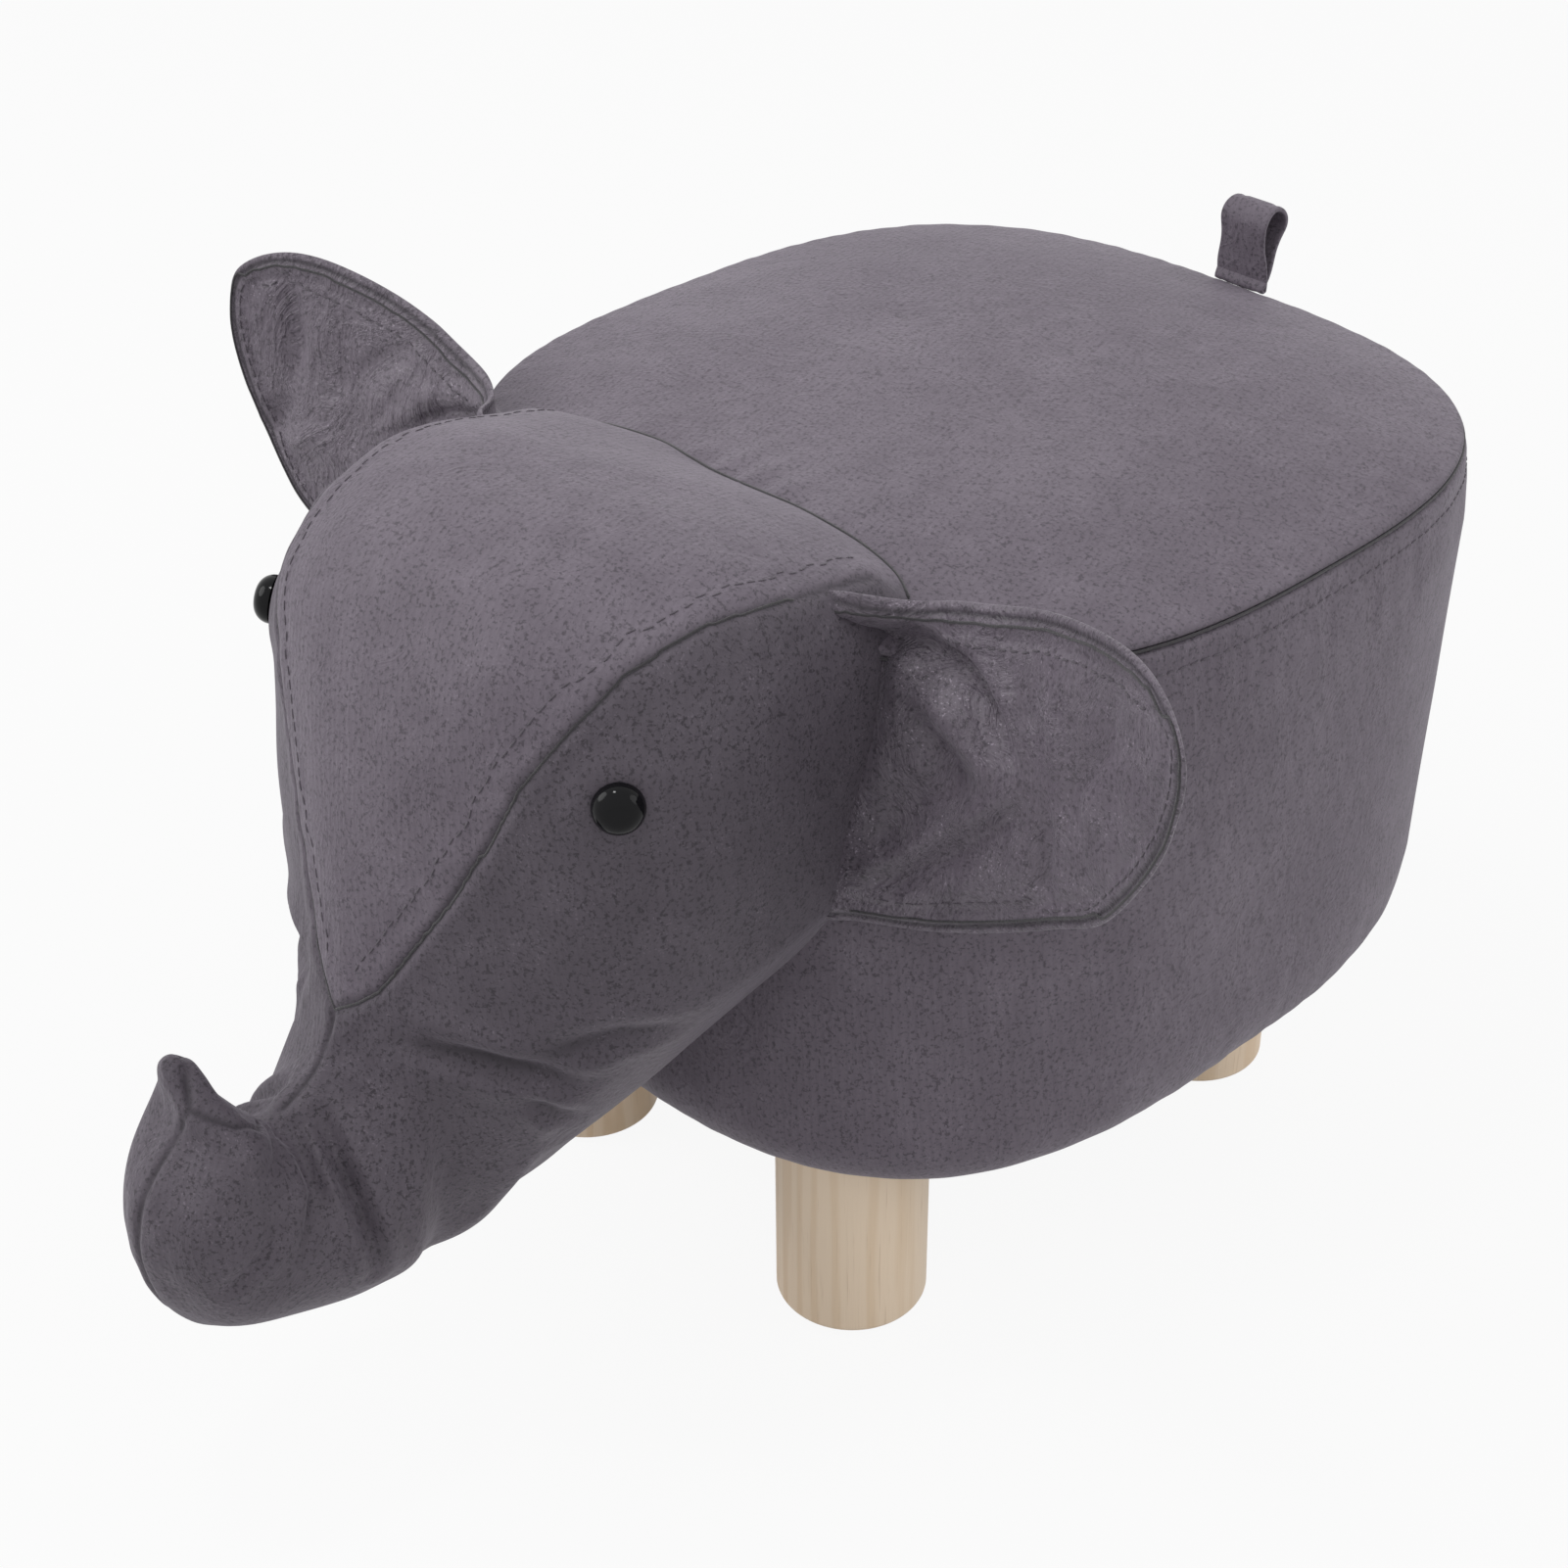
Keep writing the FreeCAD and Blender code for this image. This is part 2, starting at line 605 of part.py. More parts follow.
STAPLES_PER_SIDE = 6
staple_line = body_wire(dust_base, size("belly_front_y"), size("belly_rear_y"), dust_inset + size("staple_inset"))
staples = []
points = staple_line.discretize(Number=4 * STAPLES_PER_SIDE + 1)
for k in range(4 * STAPLES_PER_SIDE):
    if min(math.hypot(points[k].x - x, points[k].y - y) for x, y in leg_places) < leg_hole + size("staple_length"):
        continue
    run = points[k + 1] - points[k - 1 if k else -2]
    wire = size("staple_wire")
    crown_bar = Part.makeBox(size("staple_length"), wire, wire,
                             Vector(-size("staple_length") / 2, -wire / 2, -wire))
    crown_bar.Placement = FreeCAD.Placement(points[k], FreeCAD.Rotation(Vector(1, 0, 0), run))
    staples.append(crown_bar)
shape_piece("staples", Part.makeCompound(staples))

# Head, trunk and eyes

body_room = [flank(-gap), crown(-gap)]
head_skin = outside(stuffed(0), stuffed(thickness), *body_room)
stuffing = outside(stuffed(padding), *body_room)

slope = math.radians(size("gore_slope"))
gore_up = Vector(0, math.cos(slope), math.sin(slope))
gore_normal = Vector(0, -math.sin(slope), math.cos(slope))


def gore_point(across, along):
    """Point of the forehead panel's outline in shares of its width and length."""
    tip = Vector(0, size("head_rear_y") - size("gore_tip_share") * size("head_length"),
                 size("head_low_z") + size("gore_rise_share") * head_height())
    start = tip - gore_normal * size("gore_sink")
    return start + gore_up * (along * size("gore_length")) + Vector(across * size("gore_width"), 0, 0)


GORE_RIGHT_SHARES = [(0, 0), (0.667, 0.332), (1, 0.695), (1.25, 1.1)]
right_run = [gore_point(across, along) for across, along in GORE_RIGHT_SHARES]
left_run = [gore_point(-across, along) for across, along in GORE_RIGHT_SHARES]
gore_wire = Part.Wire([
    Part.Arc(right_run[0], right_run[1], right_run[2]).toShape(),
    Part.makeLine(right_run[2], right_run[3]),
    Part.makeLine(right_run[3], left_run[3]),
    Part.makeLine(left_run[3], left_run[2]),
    Part.Arc(left_run[2], left_run[1], left_run[0]).toShape(),
])
gore = Part.Face(gore_wire).extrude(gore_normal * size("gore_reach"))
patch_corner = curl_line() - Vector(size("patch_half_width"), size("patch_ahead"), size("patch_drop"))
patch_box = Part.makeBox(2 * size("patch_half_width"), size("patch_length"), size("patch_height"), patch_corner)


def cheek_point(side, y, z):
    """Point of the head's skin level with a point of the middle plane."""
    middle = Vector(0, y, z)
    line = Part.makeLine(middle, middle + Vector(side * 2 * size("head_half_width"), 0, 0))
    return middle + Vector(side * stuffed(0).common(line).Length, 0, 0)


def eye_axis(side):
    """Point of the skin under an eye and the direction straight out of it."""
    spot = cheek_point(side, size("head_rear_y") - size("eye_along_share") * size("head_length"),
                       size("head_low_z") + size("eye_up_share") * head_height())
    face = min(stuffed(0).Faces, key=lambda item: item.distToShape(Part.Vertex(spot))[0])
    way = face.normalAt(*face.Surface.parameter(spot))
    return spot, way * math.copysign(1, way.x * side)


def along_axis(start, way, radius, low, high):
    """Cylinder about an axis between two distances from its start."""
    return Part.makeCylinder(radius, high - low, start + way * low, way)


eye_seats = {}
for name, side in SIDES:
    spot, way = eye_axis(side)
    eye_seats[name] = (spot + way * size("eye_seat"), way)

shank_holes = []
washer_pockets = []
for place_of_eye, way in eye_seats.values():
    reach = size("eye_shank_length") + size("eye_height")
    shank_holes.append(along_axis(place_of_eye, way, size("eye_shank_radius") + gap, -reach, reach))
    washer_pockets.append(along_axis(place_of_eye, way, size("washer_radius") + gap, -reach, reach))

shape_piece("forehead_panel", head_skin.common(gore))
shape_piece("trunk_end_patch", head_skin.common(patch_box))
left_cheek = outside(head_skin.common(half_space(1)), gore, patch_box, *shank_holes)
shape_piece("left_cheek_panel", left_cheek)
shape_piece("right_cheek_panel", left_cheek.mirror(Vector(0, 0, 0), Vector(1, 0, 0)))

trunk_root = Part.makeBox(size("head_length"), size("head_length"), head_height() * 2,
                          Vector(-size("head_length") / 2,
                                 size("head_rear_y") - size("head_length") * (1 + HEAD_SHARES[-2][0]), 0))
tip_base = curl_line().z - size("patch_drop")
tip_end = patch_corner.y + size("patch_length")
tip_box = Part.makeBox(size("head_length"), size("head_length"), head_height(),
                       Vector(-size("head_length") / 2, tip_end - size("head_length"), tip_base))
trunk_stuffing = stuffing.common(trunk_root)
shape_piece("head_stuffing", outside(stuffing.cut(trunk_root), *washer_pockets))
shape_piece("trunk_stuffing", trunk_stuffing.cut(tip_box))
shape_piece("trunk_tip_stuffing", trunk_stuffing.common(tip_box))

for name, side in SIDES:
    spot, way = eye_seats[name]
    tilt = FreeCAD.Rotation(Vector(0, 0, 1), way)

    eye = new_body("eye_" + name)
    dome = pad(eye, "dome_" + name, "eye_radius", "eye_height")
    round_edge(eye, dome, "dome_round_" + name, "eye_height * dome_share", size("eye_height"))
    pad(eye, "shank_" + name, "eye_shank_radius", "eye_shank_length", "0 - eye_shank_length")
    eye.Placement = FreeCAD.Placement(spot, tilt)
    piece(eye, "eye_" + name)

    washer = new_body("eye_washer_" + name)
    disc = pad(washer, "disc_" + name, "washer_radius", "washer_thickness")
    bore(washer, "washer_hole_" + name, "eye_shank_radius + bolt_room", "washer_thickness", "washer_thickness")
    washer.Placement = FreeCAD.Placement(spot - way * size("washer_depth"), tilt)
    piece(washer, "eye_washer_" + name)

# Ears, each of a front lining and a back layer with a rolled root

EAR_ARC_SHARES = [
    (0.27, 0.89), (0.60, 0.985),
    (0.90, 0.985), (1.0, 0.85),
    (0.94, 0.61), (0.76, 0.335),
    (0.42, 0.13), (0.0, 0.0),
]
EAR_TOP_SHARE = 0.785
ear_low = size("seam_height") - size("ear_drop")
bead_low = ear_low + size("ear_bead_start")
bead_levels = [bead_low + share * size("ear_bead_length") for share in (0, 0.25, 0.5, 0.75, 1)]
cheek_reach = max(cheek_point(1, size("ear_root_y"), level).x for level in bead_levels)
root_x = cheek_reach + size("ear_room") + size("ear_bead_radius")


def ear_leaf(side, inner, thick, start):
    """Bent sheet in the outline of an ear, from a distance out of its root."""
    def point(across, up):
        x = root_x + start + across * (size("ear_width") - start)
        return Vector(side * x, -size("head_length"), ear_low + up * size("ear_height"))

    run = [point(0, EAR_TOP_SHARE)] + [point(across, up) for across, up in EAR_ARC_SHARES]
    edges = [Part.Arc(run[k], run[k + 1], run[k + 2]).toShape() for k in range(0, len(run) - 1, 2)]
    edges.append(Part.makeLine(run[-1], run[0]))
    block = Part.Face(Part.Wire(edges)).extrude(Vector(0, 2 * size("head_length"), 0))
    half = size("ear_width") / 2
    radius = size("ear_curve_radius")
    middle = Vector(side * (root_x + half), size("ear_root_y") - math.sqrt(radius ** 2 - half ** 2), 0)
    tall = size("head_low_z") + 2 * head_height()
    outer = Part.makeCylinder(inner + thick, tall, middle)
    sheet_tube = outer.cut(Part.makeCylinder(inner, tall, middle))
    behind = Part.makeBox(4 * half, 4 * half, tall, middle + Vector(-2 * half, 0, 0))
    return block.common(sheet_tube).common(behind)


for name, side in SIDES:
    radius = size("ear_curve_radius")
    layer = size("ear_layer")
    bead = size("ear_bead_radius")
    front = ear_leaf(side, radius - layer, layer, bead + gap)
    back = ear_leaf(side, radius + gap, layer, 0)
    root = upright(bead, side * root_x, size("ear_root_y"), bead_low, bead_low + size("ear_bead_length"))
    shape_piece("ear_lining_" + name, front)
    shape_piece("ear_back_" + name, back.fuse(root).removeSplitter())

# Tail loop

def teardrop(low_radius, low, high_radius, high):
    """Outline round two circles, one over the other, with their outer tangents."""
    lean = math.asin((high_radius - low_radius) / (high - low))

    def spot(radius, level, angle):
        return Vector(-size("loop_width") / 2, radius * math.cos(angle), level + radius * math.sin(angle))

    right = -lean
    left = math.pi + lean
    return Part.Wire([
        Part.Arc(spot(high_radius, high, right), spot(high_radius, high, math.pi / 2),
                 spot(high_radius, high, left)).toShape(),
        Part.makeLine(spot(high_radius, high, left), spot(low_radius, low, left)),
        Part.Arc(spot(low_radius, low, left), spot(low_radius, low, -math.pi / 2),
                 spot(low_radius, low, right)).toShape(),
        Part.makeLine(spot(low_radius, low, right), spot(high_radius, high, right)),
    ])


strap = Part.Face(teardrop(size("loop_bead_radius"), 0, size("loop_bulb_radius"), size("loop_rise")))
hole = Part.Face(teardrop(size("loop_gap_radius"), size("loop_gap_start"),
                          size("loop_bulb_radius") - size("loop_strap"), size("loop_rise")))
loop_shape = strap.cut(hole).extrude(Vector(size("loop_width"), 0, 0))
tail_loop = shape_piece("tail_loop", loop_shape)
tail_loop.Placement = FreeCAD.Placement(
    Vector(0, size("seat_rear_y") - size("loop_inset"),
           size("seam_height") + size("loop_bead_radius") + size("loop_room")), FreeCAD.Rotation())

# Checks, then one file per sub-part

document.recompute()
faults = [item.Label for item in document.Objects
          if "Invalid" in item.State or "Error" in item.State]
for item in PIECES:
    if item.Shape.isNull() or not item.Shape.isValid() or not item.Shape.Solids:
        faults.append(item.Label)
if faults:
    raise RuntimeError("not sound: " + ", ".join(faults))

os.makedirs("parts", exist_ok=True)
for item in PIECES:
    item.Shape.exportStep("parts/%s.step" % item.Label)
    box = item.Shape.BoundBox
    print("%-28s solids %2d volume %10.0f  x %7.1f %7.1f  y %7.1f %7.1f  z %6.1f %6.1f" % (
        item.Label, len(item.Shape.Solids), item.Shape.Volume,
        box.XMin, box.XMax, box.YMin, box.YMax, box.ZMin, box.ZMax))
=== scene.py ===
import math

import bpy
import numpy as np
from mathutils import Matrix, Vector
from mathutils.bvhtree import BVHTree


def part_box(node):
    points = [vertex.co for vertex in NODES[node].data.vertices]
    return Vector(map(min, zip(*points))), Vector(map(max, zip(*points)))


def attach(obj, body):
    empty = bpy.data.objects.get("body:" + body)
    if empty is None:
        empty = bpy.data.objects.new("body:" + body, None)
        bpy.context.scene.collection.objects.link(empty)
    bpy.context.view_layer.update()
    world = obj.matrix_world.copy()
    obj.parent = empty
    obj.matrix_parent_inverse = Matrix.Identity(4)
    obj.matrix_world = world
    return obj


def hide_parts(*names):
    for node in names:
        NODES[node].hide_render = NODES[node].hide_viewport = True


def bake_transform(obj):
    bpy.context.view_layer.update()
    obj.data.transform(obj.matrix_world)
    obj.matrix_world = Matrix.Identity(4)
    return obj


bl_info = {
    "name": "Elephant footstool",
    "version": (1, 0, 0),
    "blender": (4, 5, 0),
    "location": "View3D > Sidebar > Stool",
    "description": "Dresses the packed frame of a padded elephant footstool",
    "category": "Object",
}

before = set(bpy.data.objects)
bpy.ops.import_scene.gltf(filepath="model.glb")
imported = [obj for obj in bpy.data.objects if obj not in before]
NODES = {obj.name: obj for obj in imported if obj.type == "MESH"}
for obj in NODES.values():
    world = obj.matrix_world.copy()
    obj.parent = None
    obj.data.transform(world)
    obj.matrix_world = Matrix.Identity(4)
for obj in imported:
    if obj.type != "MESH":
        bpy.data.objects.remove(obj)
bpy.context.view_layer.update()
MM = 0.001


def length_setting(label, about, value):
    """Setting that is a length in metres."""
    return bpy.props.FloatProperty(name=label, description=about, default=value, unit="LENGTH")


def colour_setting(label, about, value):
    """Setting that is a colour."""
    return bpy.props.FloatVectorProperty(
        name=label, description=about, default=value, subtype="COLOR", size=3)


class StoolSizes(bpy.types.PropertyGroup):
    """Sizes of the padded pieces, in metres."""
    half_width: length_setting("Half width", "Half the width of the body", 0.166)
    seat_front: length_setting("Seat front", "Front end of the seat seam", -0.0515)
    seat_rear: length_setting("Seat rear", "Rear end of the seat seam", 0.2775)
    belly_front: length_setting("Belly front", "Front end of the body low down", -0.0855)
    belly_rear: length_setting("Belly rear", "Rear end of the body low down", 0.2705)
    seam_height: length_setting("Seam height", "Height of the seam round the seat", 0.298)
    crown_rise: length_setting("Crown rise", "Rise of the seat over its seam", 0.016)
    base_height: length_setting("Base height", "Underside of the body", 0.086)
    edge_radius: length_setting("Edge radius", "Rounding of the lower edge", 0.026)
    squareness: bpy.props.FloatProperty(
        name="Squareness", description="Exponent of the body's plan outline", default=2.9)
    swell: length_setting("Swell", "Most that stuffing pushes the cloth out", 0.006)
    flank_swell: length_setting("Flank swell", "Fullness of the flanks under the seat seam", 0.004)
    stitch: length_setting("Stitch", "Length of one topstitch", 0.0036)
    ear_thickness: length_setting("Ear thickness", "Thickness of an ear in its middle", 0.0075)


class StoolColours(bpy.types.PropertyGroup):
    """Colours of the finishes."""
    hide: colour_setting("Hide", "Brushed cloth", (0.130, 0.109, 0.136))
    # Brightened, this is also the colour of the painted glints.
    hide_worn: colour_setting("Worn hide", "Rubbed light patches of the cloth", (0.166, 0.142, 0.173))
    # Also the colour toward which painted shade darkens the cloth.
    hide_deep: colour_setting("Deep hide", "Dark specks and seams of the cloth", (0.030, 0.025, 0.032))
    thread: colour_setting("Thread", "Sewing thread", (0.078, 0.067, 0.082))
    pine: colour_setting("Pine", "Pale wood of the legs", (0.90, 0.72, 0.54))
    pine_ring: colour_setting("Pine rings", "Late wood of the legs", (0.74, 0.53, 0.33))


def sizes():
    """The sizes that the panel shows."""
    return bpy.context.scene.stool_sizes


def colours():
    """The colours that the panel shows."""
    return bpy.context.scene.stool_colours


# Shader expressions

class Wire:
    """Socket with the arithmetic operators, each of which adds a Math node."""

    def __init__(self, finish, socket):
        self.finish = finish
        self.socket = socket

    def math(self, operation, *values):
        """Math node of that operation on these values."""
        return self.finish.add("ShaderNodeMath", {"operation": operation}, dict(enumerate(values)))

    def __add__(self, other):
        return self.math("ADD", self, other)

    def __radd__(self, other):
        return self.math("ADD", other, self)

    def __sub__(self, other):
        return self.math("SUBTRACT", self, other)

    def __rsub__(self, other):
        return self.math("SUBTRACT", other, self)

    def __mul__(self, other):
        return self.math("MULTIPLY", self, other)

    def __rmul__(self, other):
        return self.math("MULTIPLY", other, self)

    def __pow__(self, other):
        return self.math("POWER", self, other)

    def ramp(self, low, high):
        """Zero under low, one over high, eased between."""
        return self.finish.add("ShaderNodeMapRange", {"interpolation_type": "SMOOTHSTEP", "clamp": True},
                               {"Value": self, "From Min": low, "From Max": high})


class Nodes:
    """Emptied node tree of a material or a world, to which nodes are added by expressions."""

    def __init__(self, owner):
        owner.use_nodes = True
        self.tree = owner.node_tree
        self.tree.nodes.clear()

    def add(self, kind, settings=None, inputs=None, out=0):
        """Node of a kind: its settings first, then values or links of its sockets; gives one output."""
        node = self.tree.nodes.new(kind)
        for name, value in (settings or {}).items():
            setattr(node, name, value)
        for key, value in (inputs or {}).items():
            self.join(node.inputs[key], value)
        return Wire(self, node.outputs[out])

    def backdrop(self):
        """One for a ray from the camera, off a gloss or through glass, else zero."""
        kinds = ("Is Camera Ray", "Is Glossy Ray", "Is Transmission Ray")
        camera, gloss, glass = (self.add("ShaderNodeLightPath", out=kind) for kind in kinds)
        return camera.math("MAXIMUM", camera, gloss.math("MAXIMUM", gloss, glass))

    def blend(self, share, first, second):
        """Shader between two shaders."""
        return self.add("ShaderNodeMixShader", None, {0: share, 1: first, 2: second})

    def join(self, socket, value):
        """Link a wire, or set a plain value."""
        if isinstance(value, Wire):
            self.tree.links.new(value.socket, socket)
        elif isinstance(value, (int, float)) or socket.type == "VECTOR":
            socket.default_value = value
        else:
            socket.default_value = tuple(value) + (1.0,) * (len(socket.default_value) - len(value))


class Finish(Nodes):
    """Material whose constants sit on the shader's own sockets."""

    def __init__(self, name, **constants):
        self.material = bpy.data.materials.new(name)
        super().__init__(self.material)
        self.shader = self.tree.nodes.new("ShaderNodeBsdfPrincipled")
        self.output = self.tree.nodes.new("ShaderNodeOutputMaterial")
        self.tree.links.new(self.shader.outputs[0], self.output.inputs["Surface"])
        for socket, value in constants.items():
            self.shader.inputs[socket.replace("_", " ")].default_value = value

    def place(self):
        """Object coordinates, in metres."""
        return self.add("ShaderNodeTexCoord", out=3)

    def stretched(self, scale, turn=(0, 0, 0)):
        """Object coordinates stretched and turned by a Mapping node."""
        return self.add("ShaderNodeMapping", None,
                        {"Vector": self.place(), "Scale": scale, "Rotation": turn})

    def noise(self, scale, detail=3.0, rough=0.55, source=None, warp=0.0):
        """Fractal noise between zero and one."""
        return self.add("ShaderNodeTexNoise", None, {
            "Vector": source or self.place(), "Scale": scale, "Detail": detail,
            "Roughness": rough, "Distortion": warp})

    def lines(self, scale, warp=0.0, source=None, axis="X"):
        """Even soft lines between zero and one."""
        return self.add("ShaderNodeTexWave", {"wave_type": "BANDS", "bands_direction": axis}, {
            "Vector": source or self.place(), "Scale": scale, "Distortion": warp,
            "Detail": 2.0, "Detail Scale": 1.5})

    def mix(self, share, first, second):
        """Colour between two colours."""
        return self.add("ShaderNodeMix", {"data_type": "RGBA", "clamp_factor": True},
                        {0: share, 6: first, 7: second}, out=2)

    def layer(self, name):
        """Float kept on the points of the mesh."""
        return self.add("ShaderNodeAttribute", {"attribute_name": name}, out=2)

    def bump(self, height, distance, strength=1.0):
        """Bump of that height into the shader's normal."""
        normal = self.add("ShaderNodeBump", None, {
            "Height": height, "Distance": distance, "Strength": strength})
        self.join(self.shader.inputs["Normal"], normal)

    def feed(self, **links):
        """Wires into the shader's sockets that vary over the surface."""
        for socket, value in links.items():
            self.join(self.shader.inputs[socket.replace("_", " ")], value)
        return self.material


def wear(piece, material):
    """Put one material on a piece."""
    piece.data.materials.clear()
    piece.data.materials.append(material)


# Finishes

def hide_finish(name, gloss, crinkle, spark):
    """Brushed cloth: mottled base, dark specks, painted glints as bright specks, ribs, painted shade
    with stronger specks where the mesh's layer of painted shade asks for it, and darkest along its seam
    layer."""
    shades = colours()
    finish = Finish(name, Sheen_Weight=0.22, Sheen_Roughness=0.45, Specular_IOR_Level=0.35)
    finish.shader.inputs["Sheen Tint"].default_value = (0.86, 0.80, 0.90, 1.0)
    broad = finish.noise(11.0, 3.0, 0.55)
    cloud = finish.noise(70.0, 4.0, 0.6)
    speck = finish.noise(620.0, 3.0, 0.7)
    rib = finish.lines(170.0, 3.0, finish.stretched((1.0, 0.82, 0.16), (0.0, 0.0, 0.4)), "DIAGONAL")
    seam = finish.layer("seam")
    nap = finish.layer("nap")
    rubbed = (broad * 0.55 + cloud * 0.45).ramp(0.36, 0.66)
    base = finish.mix(rubbed, tuple(shades.hide), tuple(shades.hide_worn))
    # Painted shade: darker toward the deep colour where the mesh's layer of painted shade is set, with
    # stronger dark specks there.
    shade_darkened = finish.mix(nap * 0.46, base, tuple(shades.hide_deep))
    pitted = finish.mix(speck.ramp(0.51, 0.64) * (nap * 0.25 + 0.62), shade_darkened, tuple(shades.hide_deep))
    ribbed = finish.mix(rib.ramp(0.55, 0.95) * 0.09, pitted, tuple(shades.hide_deep))
    # Painted glints: bright specks in the colour stand for sparkle of light; spark sets how many.
    grain = finish.noise(980.0, 2.0, 0.6).ramp(0.60, 0.70) * cloud.ramp(0.42, 0.66) * spark
    painted_glints = finish.mix(grain, ribbed, tuple(2.4 * value for value in shades.hide_worn))
    sewn = finish.mix(seam * 0.85, painted_glints, tuple(shades.hide_deep))
    crease = finish.noise(46.0, 5.0, 0.62, finish.stretched((1.0, 1.0, 0.7)), 1.4)
    offset = crease - 0.5
    fold = 1.0 - offset.math("ABSOLUTE", offset) * 2.0
    height = speck * 0.26 + rib * 0.06 + cloud * 0.30 + (fold ** 6.0) * crinkle
    finish.bump(height, 0.0016, 0.55)
    return finish.feed(Base_Color=sewn, Roughness=gloss + cloud * 0.22 - rubbed * 0.05 - grain * 0.2)


def thread_finish():
    """Twisted sewing thread: fine slanted lines."""
    shades = colours()
    finish = Finish("sewing_thread", Sheen_Weight=0.2, Sheen_Roughness=0.4)
    twist = finish.lines(900.0, 0.5, finish.stretched((1.0, 1.0, 1.0), (0.6, 0.4, 0.7)), "DIAGONAL")
    fuzz = finish.noise(1500.0, 2.0)
    base = finish.mix(twist * 0.5 + fuzz * 0.3, tuple(shades.thread), tuple(shades.hide))
    finish.bump(twist, 0.0003, 0.6)
    return finish.feed(Base_Color=base, Roughness=0.55 + fuzz * 0.2)


def pine_finish():
    """Pale pine: warped rings drawn out along the leg, fine pores and soft patches of tone."""
    shades = colours()
    finish = Finish("oiled_pine", Specular_IOR_Level=0.45, Coat_Roughness=0.35)
    run = finish.stretched((1.0, 1.0, 0.07), (0.05, 0.03, 0.0))
    ring = finish.lines(42.0, 7.0, run, "X")
    pore = finish.noise(900.0, 3.0, 0.6, finish.stretched((1.0, 1.0, 0.03)))
    tone = finish.noise(14.0, 3.0, 0.5, finish.stretched((1.0, 1.0, 0.25)))
    grain = finish.mix(ring.ramp(0.35, 0.95) * 0.55, tuple(shades.pine), tuple(shades.pine_ring))
    warm = finish.mix(tone.ramp(0.35, 0.75) * 0.35, grain, (0.92, 0.77, 0.60))
    fine = finish.mix(pore.ramp(0.56, 0.75) * 0.28, warm, (0.46, 0.29, 0.16))
    finish.bump(pore * 0.6 + ring * 0.4, 0.0006, 0.35)
    return finish.feed(Base_Color=fine, Roughness=0.46 + pore * 0.16)


def board_finish(name, pale, dark, layered):
    """Sawn wood: grain drawn out along one way, and level plies where the edge shows them."""
    finish = Finish(name, Specular_IOR_Level=0.35)
    grain = finish.noise(130.0, 4.0, 0.6, finish.stretched((1.0, 0.12, 0.12)), 0.6)
    cloud = finish.noise(16.0, 3.0)
    base = finish.mix(grain.ramp(0.35, 0.7), pale, dark)
    ply = finish.lines(180.0, 0.4, finish.stretched((0.02, 0.02, 1.0)), "Z")
    toned = finish.mix(ply.ramp(0.5, 0.9) * layered, base, dark)
    finish.bump(grain + ply * layered, 0.0007, 0.4)
    return finish.feed(Base_Color=toned, Roughness=0.62 + cloud * 0.2)


def steel_finish():
    """Zinc plated steel: faint spangle and brushed streaks."""
    finish = Finish("zinc_plate", Metallic=1.0)
    spangle = finish.add("ShaderNodeTexVoronoi", {"feature": "F1"},
                         {"Vector": finish.place(), "Scale": 420.0}, out=0)
    streak = finish.noise(700.0, 3.0, 0.6, finish.stretched((1.0, 1.0, 0.1)))
    base = finish.mix(spangle.ramp(0.1, 0.8), (0.62, 0.63, 0.62), (0.46, 0.48, 0.49))
    finish.bump(streak, 0.0003, 0.4)
    return finish.feed(Base_Color=base, Roughness=0.30 + streak * 0.22)


def plastic_finish(name, base_colour, lighter, gloss, shine):
    """Moulded plastic: faint cloud in the colour, fine handling marks in the gloss."""
    finish = Finish(name, Specular_IOR_Level=shine)
    cloud = finish.noise(90.0, 3.0)
    mark = finish.noise(1100.0, 4.0, 0.65, finish.stretched((1.0, 0.3, 1.0)))
    base = finish.mix(cloud * 0.5, base_colour, lighter)
    finish.bump(mark, 0.00015, 0.15)
    return finish.feed(Base_Color=base, Roughness=gloss + mark.ramp(0.55, 0.8) * 0.12)


def felt_finish(name, dark, light):
    """Pressed fibres: two scales of noise as tangled hair."""
    finish = Finish(name, Sheen_Weight=0.3, Sheen_Roughness=0.6)
    hair = finish.noise(1300.0, 4.0, 0.7, finish.stretched((1.0, 0.35, 1.0), (0.3, 0.2, 0.8)), 1.2)
    tangle = finish.noise(420.0, 4.0, 0.65, None, 0.8)
    base = finish.mix(hair * 0.6 + tangle * 0.4, dark, light)
    finish.bump(hair * 0.6 + tangle * 0.4, 0.001, 0.7)
    return finish.feed(Base_Color=base, Roughness=0.86 + tangle * 0.1)


def finish_of(name, maker, *values):
    """Material of that name, made once."""
    found = bpy.data.materials.get(name)
    return found if found else maker(*values)


def hide():
    """Cloth of the body and the head."""
    return finish_of("brushed_hide", hide_finish, "brushed_hide", 0.56, 0.25, 0.22)


def seam_shade():
    """Shaded cloth in the depth of a seam."""
    return finish_of("seam_cord", felt_finish, "seam_cord", (0.016, 0.014, 0.017), (0.032, 0.027, 0.034))


def ear_hide():
    """Smoother cloth of the ears, with more painted glints."""
    return finish_of("ear_hide", hide_finish, "ear_hide", 0.34, 1.0, 0.75)


# Surfaces

def unit(rows):
    """Rows of a table made one long."""
    return rows / np.linalg.norm(rows, axis=1)[:, None]


def bell(gap, width):
    """Bell curve exp(-(gap / width)^2)."""
    return np.exp(-(gap / width) ** 2)


def unit_outline(angle, exponent):
    """Superellipse by polar angle: radius (|cos|^n + |sin|^n)^(-1/n), times cosine and sine."""
    across, along = np.cos(angle), np.sin(angle)
    radius = (np.abs(across) ** exponent + np.abs(along) ** exponent) ** (-1.0 / exponent)
    return radius * across, radius * along


